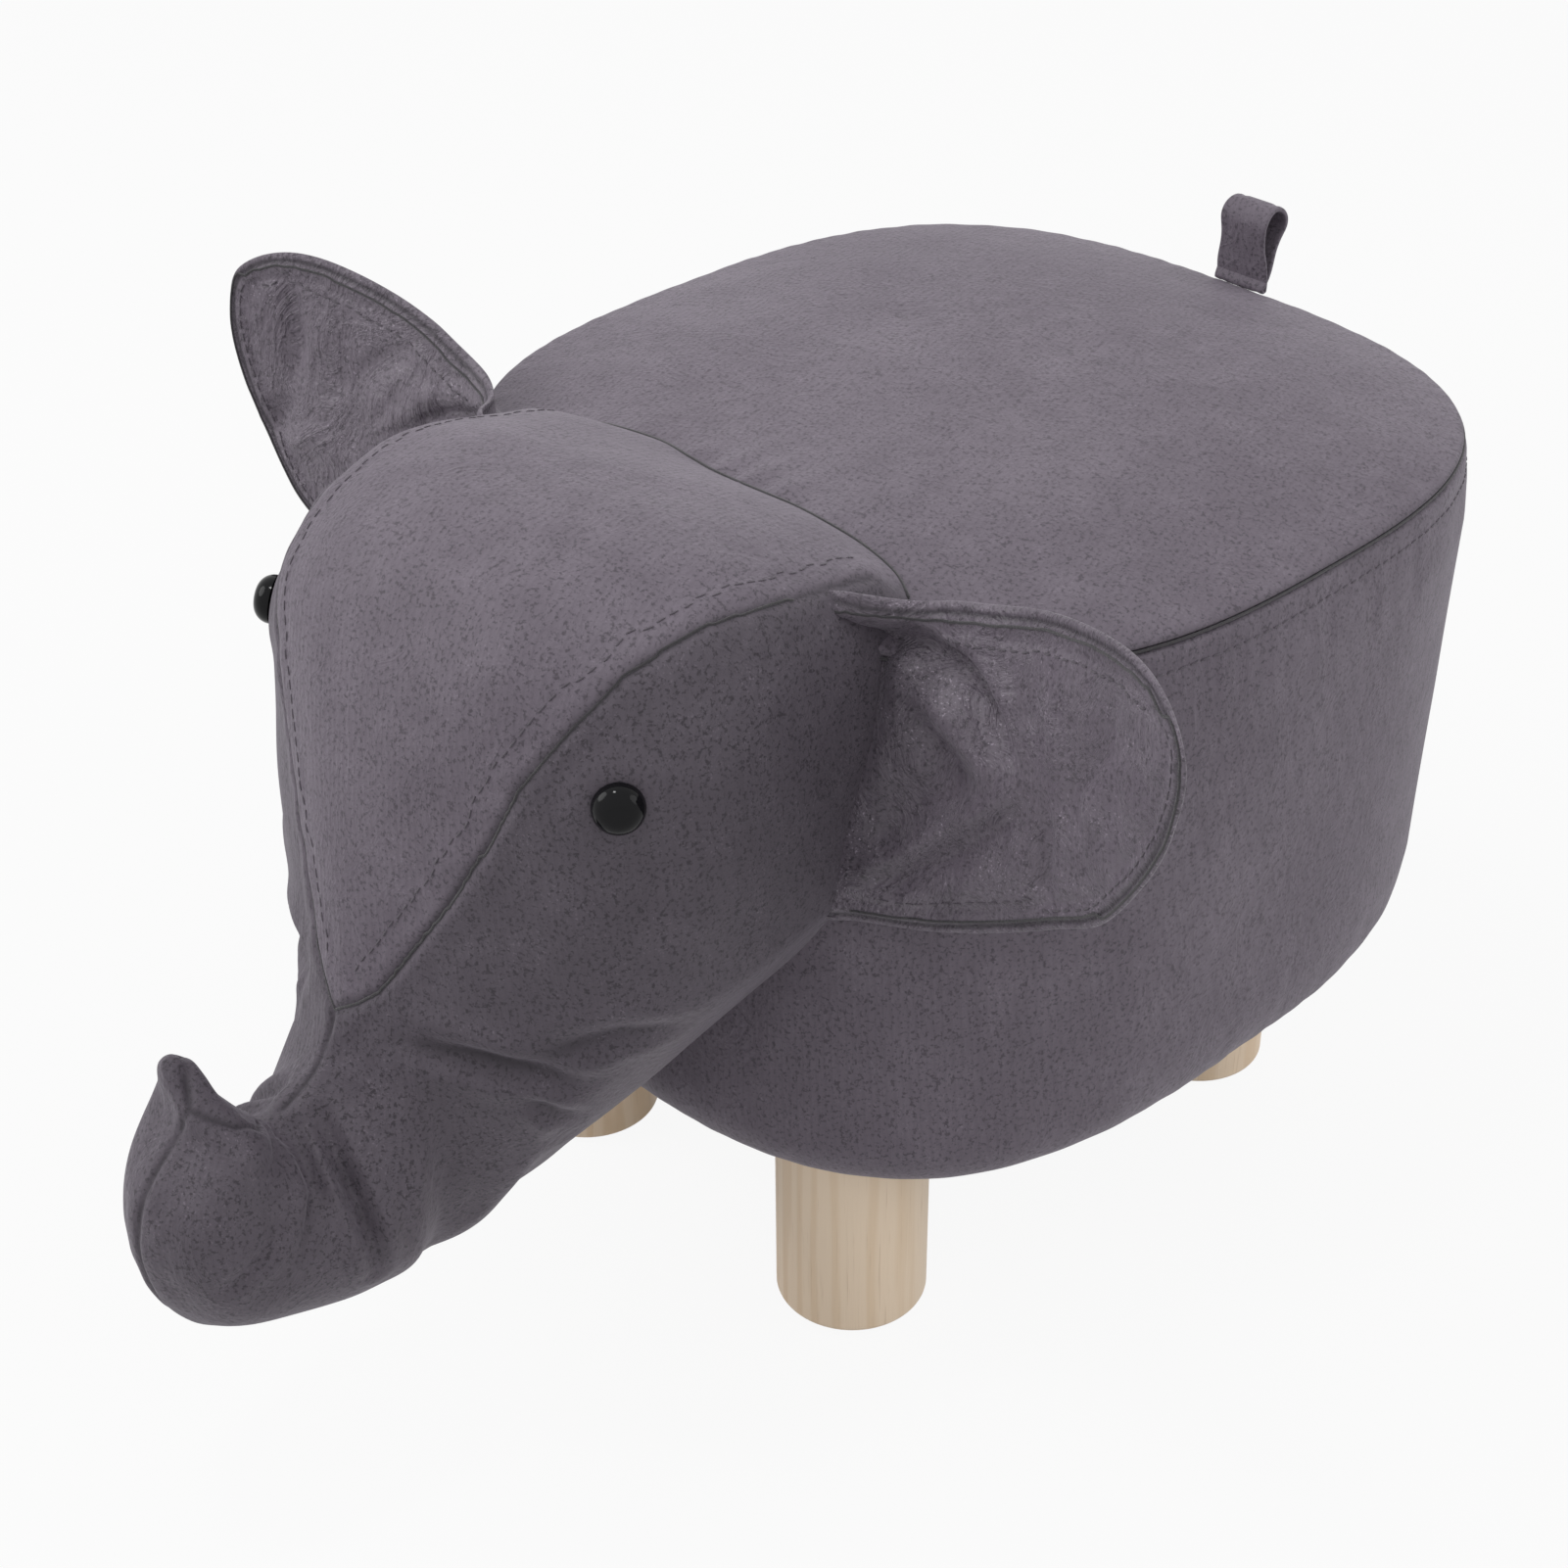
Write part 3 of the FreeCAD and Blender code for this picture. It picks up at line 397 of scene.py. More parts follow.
def smooth_run(rows, shares):
    """Cubic through rows of numbers at even shares, slopes taken from the neighbours of each row."""
    rows = np.asarray(rows, float)
    knots = np.linspace(0.0, 1.0, len(rows))
    slopes = np.gradient(rows, knots, axis=0)
    index = np.clip(np.searchsorted(knots, shares, "right") - 1, 0, len(rows) - 2)
    width = (knots[index + 1] - knots[index])[:, None]
    step = ((shares - knots[index])[:, None]) / width
    start = (1 + 2 * step) * (1 - step) ** 2
    leave = step * (1 - step) ** 2
    finish = step ** 2 * (3 - 2 * step)
    arrive = step ** 2 * (step - 1)
    return (start * rows[index] + leave * width * slopes[index]
            + finish * rows[index + 1] + arrive * width * slopes[index + 1])


def waves(points, length, seed, count=14):
    """Soft unevenness: mean of plane waves of about one length in seeded directions, from -1 to 1."""
    dice = np.random.RandomState(seed)
    ways = unit(dice.normal(size=(count, 3)))
    pitch = 2 * math.pi / (length * dice.uniform(0.7, 1.4, count))
    phase = dice.uniform(0, 2 * math.pi, count)
    return np.cos(points @ (ways * pitch[:, None]).T + phase).mean(axis=1) * math.sqrt(2.0)


def tube_faces(rows, columns, closed_rows):
    """Quads between neighbouring rows of a grid whose columns close on themselves."""
    row = np.arange(rows if closed_rows else rows - 1)[:, None]
    column = np.arange(columns)[None, :]
    after = (column + 1) % columns
    below = (row + 1) % rows
    quads = np.stack([row * columns + column, row * columns + after,
                      below * columns + after, below * columns + column], axis=-1)
    return quads.reshape(-1, 4)


def ring_mesh(name, points, start_pole=None, end_pole=None, closed_rows=False):
    """Mesh of a grid of points, rows along, columns round, with a pole to close each open end."""
    rows, columns = points.shape[:2]
    spots = [points.reshape(-1, 3)]
    faces = tube_faces(rows, columns, closed_rows).tolist()
    column = np.arange(columns)
    after = (column + 1) % columns
    count = rows * columns
    if start_pole is not None:
        spots.append(np.reshape(start_pole, (1, 3)))
        faces += np.stack([np.full(columns, count), after, column], axis=-1).tolist()
        count += 1
    if end_pole is not None:
        last = (rows - 1) * columns
        spots.append(np.reshape(end_pole, (1, 3)))
        faces += np.stack([np.full(columns, count), last + column, last + after], axis=-1).tolist()
    piece = mesh_piece(name, np.concatenate(spots), faces)
    turn_outward(piece)
    return piece


def mesh_piece(name, spots, faces):
    """Object at the origin from points in metres and lists of corners."""
    mesh = bpy.data.meshes.new(name)
    mesh.from_pydata(np.asarray(spots, float).tolist(), [], faces)
    mesh.update()
    piece = bpy.data.objects.new(name, mesh)
    bpy.context.scene.collection.objects.link(piece)
    mesh.polygons.foreach_set("use_smooth", np.ones(len(mesh.polygons), bool))
    return piece


def spots_of(mesh, kind="co"):
    """Points of a mesh as an array, or another triple that it keeps for each point."""
    values = np.zeros(len(mesh.vertices) * 3, np.float32)
    mesh.vertices.foreach_get(kind, values)
    return values.reshape(-1, 3).astype(float)


def normals_of(mesh):
    """Point normals of a mesh as an array."""
    return spots_of(mesh, "normal")


def put_spots(mesh, spots):
    """Write points back into a mesh."""
    mesh.vertices.foreach_set("co", np.asarray(spots, np.float32).ravel())
    mesh.update()


def turn_outward(piece):
    """Flip every face of a closed mesh whose volume counts as negative."""
    mesh = piece.data
    mesh.calc_loop_triangles()
    corners = np.zeros(len(mesh.loop_triangles) * 3, np.int32)
    mesh.loop_triangles.foreach_get("vertices", corners)
    spots = spots_of(mesh)[corners.reshape(-1, 3)]
    volume = np.einsum("ij,ij->i", spots[:, 0], np.cross(spots[:, 1], spots[:, 2])).sum()
    if volume < 0:
        mesh.flip_normals()
        mesh.update()


def finer(piece, levels):
    """Replace a piece's mesh by its subdivision surface."""
    modifier = piece.modifiers.new("finer", "SUBSURF")
    modifier.levels = levels
    modifier.render_levels = levels
    depsgraph = bpy.context.evaluated_depsgraph_get()
    made = bpy.data.meshes.new_from_object(piece.evaluated_get(depsgraph))
    piece.modifiers.remove(modifier)
    old = piece.data
    made.name = old.name + "_fine"
    piece.data = made
    bpy.data.meshes.remove(old)
    made.polygons.foreach_set("use_smooth", np.ones(len(made.polygons), bool))


def puff(piece, held, cap, pressure=4.0, steps=20):
    """Cloth under pressure with points held by weight; no point moves further than the cap."""
    scene = bpy.context.scene
    group = piece.vertex_groups.new(name="held")
    for weight in np.unique(np.round(held, 1)):
        chosen = np.nonzero(np.round(held, 1) == weight)[0]
        group.add(chosen.tolist(), float(weight), "REPLACE")
    cloth = piece.modifiers.new("stuffing", "CLOTH")
    cloth.settings.vertex_group_mass = "held"
    cloth.settings.quality = 6
    cloth.settings.mass = 0.25
    cloth.settings.tension_stiffness = 12.0
    cloth.settings.compression_stiffness = 12.0
    cloth.settings.shear_stiffness = 6.0
    cloth.settings.bending_stiffness = 0.6
    cloth.settings.use_pressure = True
    cloth.settings.uniform_pressure_force = pressure
    cloth.settings.effector_weights.gravity = 0.0
    cloth.collision_settings.use_collision = False
    for step in range(1, steps + 1):
        scene.frame_set(step)
    depsgraph = bpy.context.evaluated_depsgraph_get()
    after = spots_of(piece.evaluated_get(depsgraph).data)
    piece.modifiers.remove(cloth)
    scene.frame_set(1)
    before = spots_of(piece.data)
    move = after - before
    length = np.linalg.norm(move, axis=1, keepdims=True) + 1e-9
    put_spots(piece.data, before + move / length * cap * np.tanh(length / cap))
    piece.vertex_groups.clear()


def line_distance(points, line):
    """Distance of points from a line of straight runs, and how far along it the nearest place is."""
    line = np.asarray(line, float)
    best = np.full(len(points), 1e9)
    along = np.zeros(len(points))
    runs = np.linalg.norm(np.diff(line, axis=0), axis=1)
    begun = np.concatenate([[0.0], np.cumsum(runs)])
    for k, run in enumerate(runs):
        way = (line[k + 1] - line[k]) / run
        reach = np.clip((points - line[k]) @ way, 0.0, run)
        gap = np.linalg.norm(points - line[k] - reach[:, None] * way, axis=1)
        nearer = gap < best
        best = np.where(nearer, gap, best)
        along = np.where(nearer, (begun[k] + reach) / begun[-1], along)
    return best, along


def keep_layer(piece, name, values):
    """Float layer on a mesh's points, for the finish to read."""
    layer = piece.data.attributes.new(name, "FLOAT", "POINT")
    layer.data.foreach_set("value", np.asarray(values, np.float32))


def tree_of(piece):
    """Search tree of a finished piece."""
    mesh = piece.data
    faces = [tuple(face.vertices) for face in mesh.polygons]
    return BVHTree.FromPolygons([Vector(spot) for spot in spots_of(mesh)], faces)


def snap(tree, points):
    """Nearest points of a surface and its normals there."""
    found = [tree.find_nearest(Vector(point)) for point in points]
    return (np.array([tuple(hit[0]) for hit in found]), np.array([tuple(hit[1]) for hit in found]))


def even_line(line, step, closed=False):
    """Line of straight runs cut into even steps."""
    line = np.asarray(line, float)
    if closed:
        line = np.concatenate([line, line[:1]])
    lengths = np.concatenate([[0.0], np.cumsum(np.linalg.norm(np.diff(line, axis=0), axis=1))])
    count = max(int(lengths[-1] / step), 2)
    stops = np.linspace(0.0, lengths[-1], count, endpoint=not closed)
    return np.stack([np.interp(stops, lengths, line[:, axis]) for axis in range(3)], axis=-1)


# Step from one topstitch to the next, half thickness of one, and how far its row lies from the seat
# seam, the rim of an ear and the brow seam, in metres.
STITCH_STEP = 0.0048
STITCH_THICK = 0.00036
SEAT_STITCH_DROP = 0.010
EAR_STITCH_INSET = 0.009
BROW_STITCH_INSET = 0.011


def stitch_row(name, runs):
    """Topstitches: each a flattened bead, long axis along the row, sunk halfway into the cloth."""
    turn = np.linspace(0, 2 * math.pi, 7)[:-1]
    rise = np.array([-0.92, -0.5, 0.5, 0.92])
    girth = np.array([0.45, 1.0, 1.0, 0.45])
    ring = np.stack([np.repeat(rise, 6), np.outer(girth, np.cos(turn)).ravel(),
                     np.outer(girth, np.sin(turn)).ravel()], axis=-1)
    quads = tube_faces(4, 6, False).tolist() + [[5, 4, 3, 2, 1, 0], [18, 19, 20, 21, 22, 23]]
    length = sizes().stitch / 2
    spots = []
    faces = []
    count = 0
    for centres, normals, closed in runs:
        ahead = np.roll(centres, -1, axis=0) - np.roll(centres, 1, axis=0)
        if not closed:
            ahead[0] = centres[1] - centres[0]
            ahead[-1] = centres[-1] - centres[-2]
        ahead = unit(ahead)
        side = unit(np.cross(normals, ahead))
        made = (centres[:, None, :] + ahead[:, None, :] * (ring[None, :, :1] * length)
                + side[:, None, :] * (ring[None, :, 1:2] * STITCH_THICK)
                + normals[:, None, :] * (ring[None, :, 2:3] * STITCH_THICK + 0.0001))
        spots.append(made.reshape(-1, 3))
        start = count + np.arange(len(centres))[:, None] * len(ring)
        for face in quads:
            faces += (start + np.array(face)[None, :]).tolist()
        count += len(centres) * len(ring)
    return mesh_piece(name, np.concatenate(spots), faces)


def welt(name, centres, normals, radius, closed):
    """Thin cord in a seam: a ring of eight points carried along the line."""
    turn = np.linspace(0, 2 * math.pi, 9)[:-1]
    ahead = np.gradient(centres, axis=0)
    if closed:
        ahead = np.roll(centres, -1, axis=0) - np.roll(centres, 1, axis=0)
    ahead = unit(ahead)
    side = unit(np.cross(normals, ahead))
    out = np.cross(ahead, side)
    rings = (centres[:, None, :] + side[:, None, :] * (np.cos(turn)[None, :, None] * radius)
             + out[:, None, :] * (np.sin(turn)[None, :, None] * radius))
    if closed:
        return ring_mesh(name, rings, closed_rows=True)
    return ring_mesh(name, rings, centres[0] - ahead[0] * radius, centres[-1] + ahead[-1] * radius)


# Body

def body_ends(height):
    """Front and rear of the body at heights: straight below the rounding, then leaning to the seat."""
    size = sizes()
    low = size.base_height + size.edge_radius
    share = np.clip((height - low) / (size.seam_height - low), 0.0, 1.0)
    front = size.belly_front + share * (size.seat_front - size.belly_front)
    rear = size.belly_rear + share * (size.seat_rear - size.belly_rear)
    return front, rear


def body_points(angle, height, inset):
    """Plan outline of the body at each height, drawn in by each inset; rows by columns of points."""
    size = sizes()
    across, along = unit_outline(angle, size.squareness)
    front, rear = body_ends(height)
    middle = (front + rear) / 2
    half_length = (rear - front) / 2 - inset
    half_width = size.half_width - inset
    shape = np.zeros((len(height), len(angle), 3))
    shape[..., 0] = half_width[:, None] * across
    shape[..., 1] = middle[:, None] + half_length[:, None] * along
    shape[..., 2] = height[:, None]
    return shape


def body_front(across, height):
    """Place along of the body's front face, from the plan outline at each height."""
    size = sizes()
    front, rear = body_ends(height)
    rest = np.clip(1 - np.abs(across / size.half_width) ** size.squareness, 0, 1)
    return (front + rear) / 2 - (rear - front) / 2 * rest ** (1 / size.squareness)


def crown_height(x, y):
    """Height of the seat's upper face: a parabola in the distance in from the seam's outline."""
    size = sizes()
    middle = (size.seat_front + size.seat_rear) / 2
    half_length = (size.seat_rear - size.seat_front) / 2
    reach = (np.abs(x / size.half_width) ** size.squareness
             + np.abs((y - middle) / half_length) ** size.squareness) ** (1 / size.squareness)
    inset = np.clip((1 - reach) / 0.78, 0.0, 1.0)
    return size.seam_height + (size.crown_rise + 0.002) * (1 - (1 - inset) ** 2), reach


# Points round the seat and the head.
COLUMNS = 144


def round_angles(count=COLUMNS):
    """Even angles of a full turn."""
    return np.linspace(0, 2 * math.pi, count, endpoint=False)


def seat_seam_line(height, inset, step):
    """Even line round the body at a height."""
    line = body_points(round_angles(720), np.array([height]), np.array([inset]))[0]
    return even_line(line, step, True)


class STOOL_OT_seat(bpy.types.Operator):
    """Crowned seat cushion, closed below, held at its seam and swollen by its filling"""
    bl_idname = "stool.seat"
    bl_label = "Seat cushion"

    def execute(self, context):
        size = sizes()
        angle = round_angles()
        under = np.array([0.110, 0.060, 0.025, 0.008, 0.0025])
        over = np.array([0.0, 0.0006, 0.0025, 0.006, 0.011, 0.018, 0.027, 0.038, 0.050, 0.063,
                         0.077, 0.091, 0.105, 0.119, 0.132, 0.144, 0.155])
        rise = (size.crown_rise - 0.001) * (1 - (1 - np.clip(over / 0.130, 0, 1)) ** 2)
        roll = 0.0022 * (1 - np.exp(-over / 0.004))
        inset = np.concatenate([under, np.maximum(over, 0.0012)])
        height = size.seam_height + np.concatenate([np.full(len(under), -0.0008), rise + roll])
        shape = np.zeros((len(inset), len(angle), 3))
        across, along = unit_outline(angle, size.squareness)
        half_length = (size.seat_rear - size.seat_front) / 2
        middle = (size.seat_front + size.seat_rear) / 2
        shape[..., 0] = (size.half_width - inset)[:, None] * across
        shape[..., 1] = middle + (half_length - inset)[:, None] * along
        shape[..., 2] = height[:, None]
        piece = ring_mesh("seat_cushion", shape, (0, middle, height[0]), (0, middle, height[-1]))
        sewn = (inset <= 0.0026) | (np.arange(len(inset)) <= len(under))
        held = np.repeat(sewn, len(angle)).astype(float)
        puff(piece, np.concatenate([held, [1.0, 0.0]]), size.swell * 0.7, 2.5)
        finer(piece, 2)
        spots = spots_of(piece.data)
        ways = normals_of(piece.data)
        reach = crown_height(spots[:, 0], spots[:, 1])[1]
        upper = (spots[:, 2] > size.seam_height + 0.0004) & (ways[:, 2] > 0)
        edge = np.clip((reach - 0.80) / 0.20, 0, 1)
        around = np.arctan2(spots[:, 1] - middle, spots[:, 0])
        gather = np.sin(around * 61 + 3 * np.sin(around * 7)) * np.sin(around * 23 + 1.3)
        move = (waves(spots, 0.11, 5) * 0.0011 + waves(spots, 0.045, 6) * 0.0005) * (1 - edge)
        move += gather * 0.0003 * edge ** 2 * np.clip((1 - reach) / 0.02, 0, 1)
        behind = spots[:, 1] - (-0.008 - 0.022 * np.clip(np.abs(spots[:, 0]) / 0.085, 0, 1.2) ** 2)
        nape = bell(behind, 0.030) / (1 + (spots[:, 0] / 0.088) ** 8)
        pull = np.sin(spots[:, 0] * 330 + 2.2 * np.sin(spots[:, 0] * 71)) * np.exp(-np.abs(behind) / 0.014)
        move += nape * 0.0050 + pull * 0.0009 / (1 + (spots[:, 0] / 0.088) ** 8)
        spots[:, 2] += np.where(upper, move, 0.0)
        put_spots(piece.data, spots)
        seam = 0.6 * bell(spots[:, 2] - size.seam_height, 0.0010) * (reach > 0.97)
        keep_layer(piece, "seam", seam)
        wear(piece, hide())
        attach(piece, "stool")
        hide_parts("seat_cover", "seat_foam")
        return {"FINISHED"}


class STOOL_OT_flank(bpy.types.Operator):
    """Padded wrap round the body: a closed profile carried round the plan outline"""
    bl_idname = "stool.flank"
    bl_label = "Flank wrap"

    def execute(self, context):
        size = sizes()
        angle = round_angles(160)
        base = size.base_height
        low = base + size.edge_radius
        seam = size.seam_height
        rows = [(0.0022, seam - 0.0012), (0.0006, seam - 0.0028), (0.0002, seam - 0.006)]
        rows += [(0.0, seam - 0.011 - share * (seam - 0.011 - low)) for share in np.linspace(0, 1, 28)]
        bend = np.linspace(0, math.pi / 2, 8)[1:]
        rows += [(size.edge_radius * (1 - math.cos(a)), low - size.edge_radius * math.sin(a) + 0.0004)
                 for a in bend]
        rows += [(0.0255, base + 0.004), (0.0240, base + 0.018)]
        rows += [(0.022, 0.16), (0.019, 0.23), (0.0165, 0.284)]
        rows += [(0.0150, seam - 0.006), (0.0135, seam - 0.0015)]
        rows = np.array(rows)
        shape = body_points(angle, rows[:, 1], rows[:, 0])
        piece = ring_mesh("flank_wrap", shape, closed_rows=True)
        free = (np.arange(len(rows)) > 2) & (np.arange(len(rows)) < 36)
        puff(piece, np.repeat(~free, len(angle)).astype(float), size.swell * 0.6, 2.0)
        finer(piece, 2)
        spots = spots_of(piece.data)
        ways = normals_of(piece.data)
        drop = seam - spots[:, 2]
        face = np.clip((ways[:, 0] ** 2 + ways[:, 1] ** 2 - 0.2) / 0.5, 0, 1)
        around = np.arctan2(spots[:, 1] - 0.1, spots[:, 0])
        gather = np.sin(around * 53 + 4 * np.sin(around * 5)) * np.sin(around * 19 + 0.6)
        near_seam = bell(drop - 0.020, 0.016)
        near_base = bell(spots[:, 2] - low, 0.030)
        stitched = bell(drop - SEAT_STITCH_DROP, 0.0035)
        flat = spots * np.array([1.0, 1.0, 0.45])
        move = waves(flat, 0.10, 11) * 0.0013 + waves(flat, 0.05, 12) * 0.0005
        move += gather * (0.0003 * near_seam + 0.0002 * near_base) - stitched * 0.0006
        full = np.clip(drop / 0.028, 0, 1) ** 0.7 * np.clip((spots[:, 2] - base) / 0.040, 0, 1)
        move += size.flank_swell * full * np.clip((spots[:, 1] + 0.03) / 0.06, 0, 1)
        spots += ways * (move * face * np.clip(drop / 0.004, 0, 1))[:, None]
        put_spots(piece.data, spots)
        keep_layer(piece, "seam", 0.6 * bell(drop, 0.0013))
        wear(piece, hide())
        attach(piece, "stool")
        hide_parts("left_flank_cover", "right_flank_cover", "side_foam")
        return {"FINISHED"}


# How far the dust cloth's edge lies inside the body's plan, in metres.
DUST_INSET = 0.036


class STOOL_OT_underside(bpy.types.Operator):
    """Cloth turned in under the base board and the dust cloth stretched over it"""
    bl_idname = "stool.underside"
    bl_label = "Underside cloths"

    def execute(self, context):
        size = sizes()
        angle = round_angles(128)
        base = size.base_height
        rows = np.array([
            (0.020, base + 0.0012), (0.026, base + 0.0002), (0.038, base + 0.0002),
            (0.050, base + 0.0002), (0.0505, base + 0.0007), (0.050, base + 0.0013),
            (0.038, base + 0.0013), (0.026, base + 0.0014)])
        turned = ring_mesh("turned_in_cloth", body_points(angle, rows[:, 1], rows[:, 0]), closed_rows=True)
        wear(turned, hide())
        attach(turned, "stool")
        inset = np.array([DUST_INSET, 0.0365, 0.040, 0.050, 0.070, 0.095, 0.120, 0.145])
        sag = -0.0009 * (1 - np.exp(-(inset - DUST_INSET) / 0.012))
        shape = body_points(angle, np.full(len(inset), base), inset)
        shape[..., 2] = (base - 0.0006 + sag)[:, None]
        pucker = np.sin(angle * 24)[None, :] * 0.0003 * np.exp(-(inset - DUST_INSET) / 0.02)[:, None]
        shape[..., 2] += np.minimum(pucker, 0.0002)
        middle = (size.belly_front + size.belly_rear) / 2
        cloth = ring_mesh("dust_cloth", shape, None, (0, middle, base - 0.0015))
        solid = cloth.modifiers.new("thickness", "SOLIDIFY")
        solid.thickness = 0.0005
        solid.offset = 0.0
        wear(cloth, finish_of("dust_cloth_weave", felt_finish, "dust_cloth_weave", (0.012, 0.012, 0.013),
                              (0.035, 0.034, 0.036)))
        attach(cloth, "stool")
        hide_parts("dust_cover")
        return {"FINISHED"}


# Head and trunk

# Stations in millimetres: place along, top, widest level, underside and half width, then the
# exponents of the section's upper and lower half.
HEAD_STATIONS = [
    (9.5, 307, 215, 104.3, 111, 4.2, 1.29), (-16.5, 322.5, 215, 97.3, 111, 4.6, 1.18),
    (-46.4, 334, 212, 93.1, 105.5, 4.8, 1.06), (-81.4, 342, 208, 88.8, 107.5, 4.7, 1.06),
    (-111.6, 342, 205, 83.9, 107, 3.9, 1.14), (-136.4, 336, 203, 77.3, 98, 3.4, 1.29),
    (-151.5, 325, 198, 73.8, 84.3, 3.5, 1.46), (-162.4, 307, 190, 70.4, 66, 3.2, 1.8),
    (-172.4, 280, 178, 68.6, 49.5, 2.4, 2.1), (-180.5, 247, 163, 68.5, 41, 1.6, 2.2),
    (-187.5, 210, 145, 69.4, 41, 1.4, 2.25), (-194.4, 183, 131, 72.2, 43.8, 1.42, 2.2),
    (-204.4, 166, 121, 74.6, 43.2, 1.45, 2.15), (-222.5, 156, 115, 77.5, 40.5, 1.6, 2.06),
]
# Degrees turned about the curl's line, near and far side of the section, half width.
CURL_STATIONS = [(30, 8.2, 83.6, 37.0), (52, 8.2, 70.8, 32.8), (72, 8.2, 55.8, 30.4)]
# Height over the curl's line, near and far side of the level section, half width, then the shift
# of its middle across and the fall of the section per length across.
TIP_STATIONS = [
    (1.9, 11.3, 37.6, 28.2, -0.7, 0.07), (7.2, 14.5, 34.6, 23.7, -0.6, 0.18),
    (12.7, 17.2, 33.8, 18.5, -2.5, 0.31), (16.9, 19.1, 33.1, 11.9, -7.5, 0.24),
    (20.9, 24.6, 31.6, 5.1, -9.3, 0.46),
]
TRUNK_ROUND = 2.15
CURL_LINE = (-222.5, 165.0)
TIP_END = np.array((-9.3, -250.6, 186.6)) * MM

# Forehead seam on the left side, from the trunk up and back over the brow.
BROW_SEAM = np.array([
    (0, -192.5, 184.5), (9, -190, 190.5), (17.3, -186.9, 197.9), (28, -180.3, 215.8), (38.7, -174.5, 234),
    (53.8, -165.5, 263.1), (63.3, -158.3, 286), (74, -146.3, 306.3), (79.4, -127.1, 320.8),
    (82.8, -113.1, 326.2), (85.1, -98.3, 329.3), (87.7, -80.8, 328.8), (87.7, -63.6, 325.9),
    (86.1, -40.9, 321.2), (85, -26.3, 317.6)]) * MM
# Middle seam over the top of the trunk, the seam round its end patch and the one down its front.
TRUNK_TOP_SEAM = np.array([
    (0, -192.5, 184.5), (0.5, -205.3, 165), (0.5, -217.7, 157.8), (2, -229, 161)]) * MM
PATCH_SEAM = np.array([
    (6, -231, 162.5), (12.9, -235.1, 165.8), (13.5, -244.1, 172.9), (8.9, -249.8, 176.4),
    (3, -253.3, 178.3), (-4.3, -249.1, 183.5), (-15.4, -244, 184.3)]) * MM
FRONT_SEAM = np.array([
    (3, -253.3, 178.3), (-1, -265.5, 161.2), (0, -275.8, 147.1), (0, -279, 132), (0, -277.6, 118),
    (0, -275.3, 109.8), (0, -266, 93), (0, -250, 82), (0, -225, 77), (0, -180, 68.5), (0, -130, 79),
    (0, -100, 85)]) * MM


def mirrored(line):
    """The same line on the other side of the middle plane."""
    return np.asarray(line) * np.array([-1.0, 1.0, 1.0])


def head_surface(inset, rows=104, columns=COLUMNS):
    """Sections carried along the head and the trunk's curl: their middle, upper and lower points run
    along smooth cubics, and each section is a superellipse with one exponent above and one below."""
    stations = []
    for along, top, middle, low, half, above, below in HEAD_STATIONS:
        stations.append((along, middle, along, top, along, low, half, above, below, 0.0, 0.0))
    for degrees, near, far, half in CURL_STATIONS:
        ahead, down = -math.sin(math.radians(degrees)), -math.cos(math.radians(degrees))
        mean = (near + far) / 2
        stations.append((CURL_LINE[0] + ahead * mean, CURL_LINE[1] + down * mean,
                         CURL_LINE[0] + ahead * near, CURL_LINE[1] + down * near,
                         CURL_LINE[0] + ahead * far, CURL_LINE[1] + down * far,
                         half, TRUNK_ROUND, TRUNK_ROUND, 0.0, 0.0))
    for rise, near, far, half, shift, fall in TIP_STATIONS:
        level = CURL_LINE[1] + rise
        stations.append((CURL_LINE[0] - (near + far) / 2, level, CURL_LINE[0] - near, level,
                         CURL_LINE[0] - far, level, half, TRUNK_ROUND, TRUNK_ROUND, shift, fall))
    run = smooth_run(stations, np.linspace(0, 1, rows))
    run[:, :7] *= MM
    run[:, 9] *= MM
    angle = round_angles(columns) + math.pi / 2
    upper = np.sin(angle)[None, :] > 0
    exponent = np.where(upper, run[:, 7:8], run[:, 8:9])
    across, along = unit_outline(angle[None, :] + np.zeros((rows, 1)), exponent)
    middle, top, low = run[:, None, 0:2], run[:, None, 2:4], run[:, None, 4:6]
    reach_top, reach_low = top - middle, middle - low
    long_top = np.linalg.norm(reach_top, axis=2, keepdims=True)
    long_low = np.linalg.norm(reach_low, axis=2, keepdims=True)
    reach_top = reach_top * np.maximum(1 - inset / long_top, 0.5)
    reach_low = reach_low * np.maximum(1 - inset / long_low, 0.5)
    shape = np.zeros((rows, columns, 3))
    wide = np.maximum(run[:, 6:7] - inset, run[:, 6:7] * 0.5) * across
    shape[..., 0] = run[:, 9:10] + wide
    shape[..., 1:] = middle + along[..., None] * np.where(upper[..., None], reach_top, reach_low)
    shape[..., 2] -= run[:, 10:11] * wide
    return shape


def seam_lines():
    """Every seam of the head."""
    return [BROW_SEAM, mirrored(BROW_SEAM), TRUNK_TOP_SEAM, PATCH_SEAM, FRONT_SEAM]


def pulled_into_body(spots, depth):
    """Points deep inside the body come out to lie just under its nearest face."""
    face = body_front(spots[:, 0], spots[:, 2])
    behind = spots[:, 1] - face
    top, reach = crown_height(spots[:, 0], spots[:, 1])
    below = top - spots[:, 2]
    inside = (behind > depth) & (below > depth) & (reach < 1.05)
    forward = inside & (behind < below)
    lifted = inside & ~forward
    moved = spots.copy()
    moved[:, 1] = np.where(forward, face + depth, spots[:, 1])
    moved[:, 2] = np.where(lifted, top - depth, moved[:, 2])
    return moved


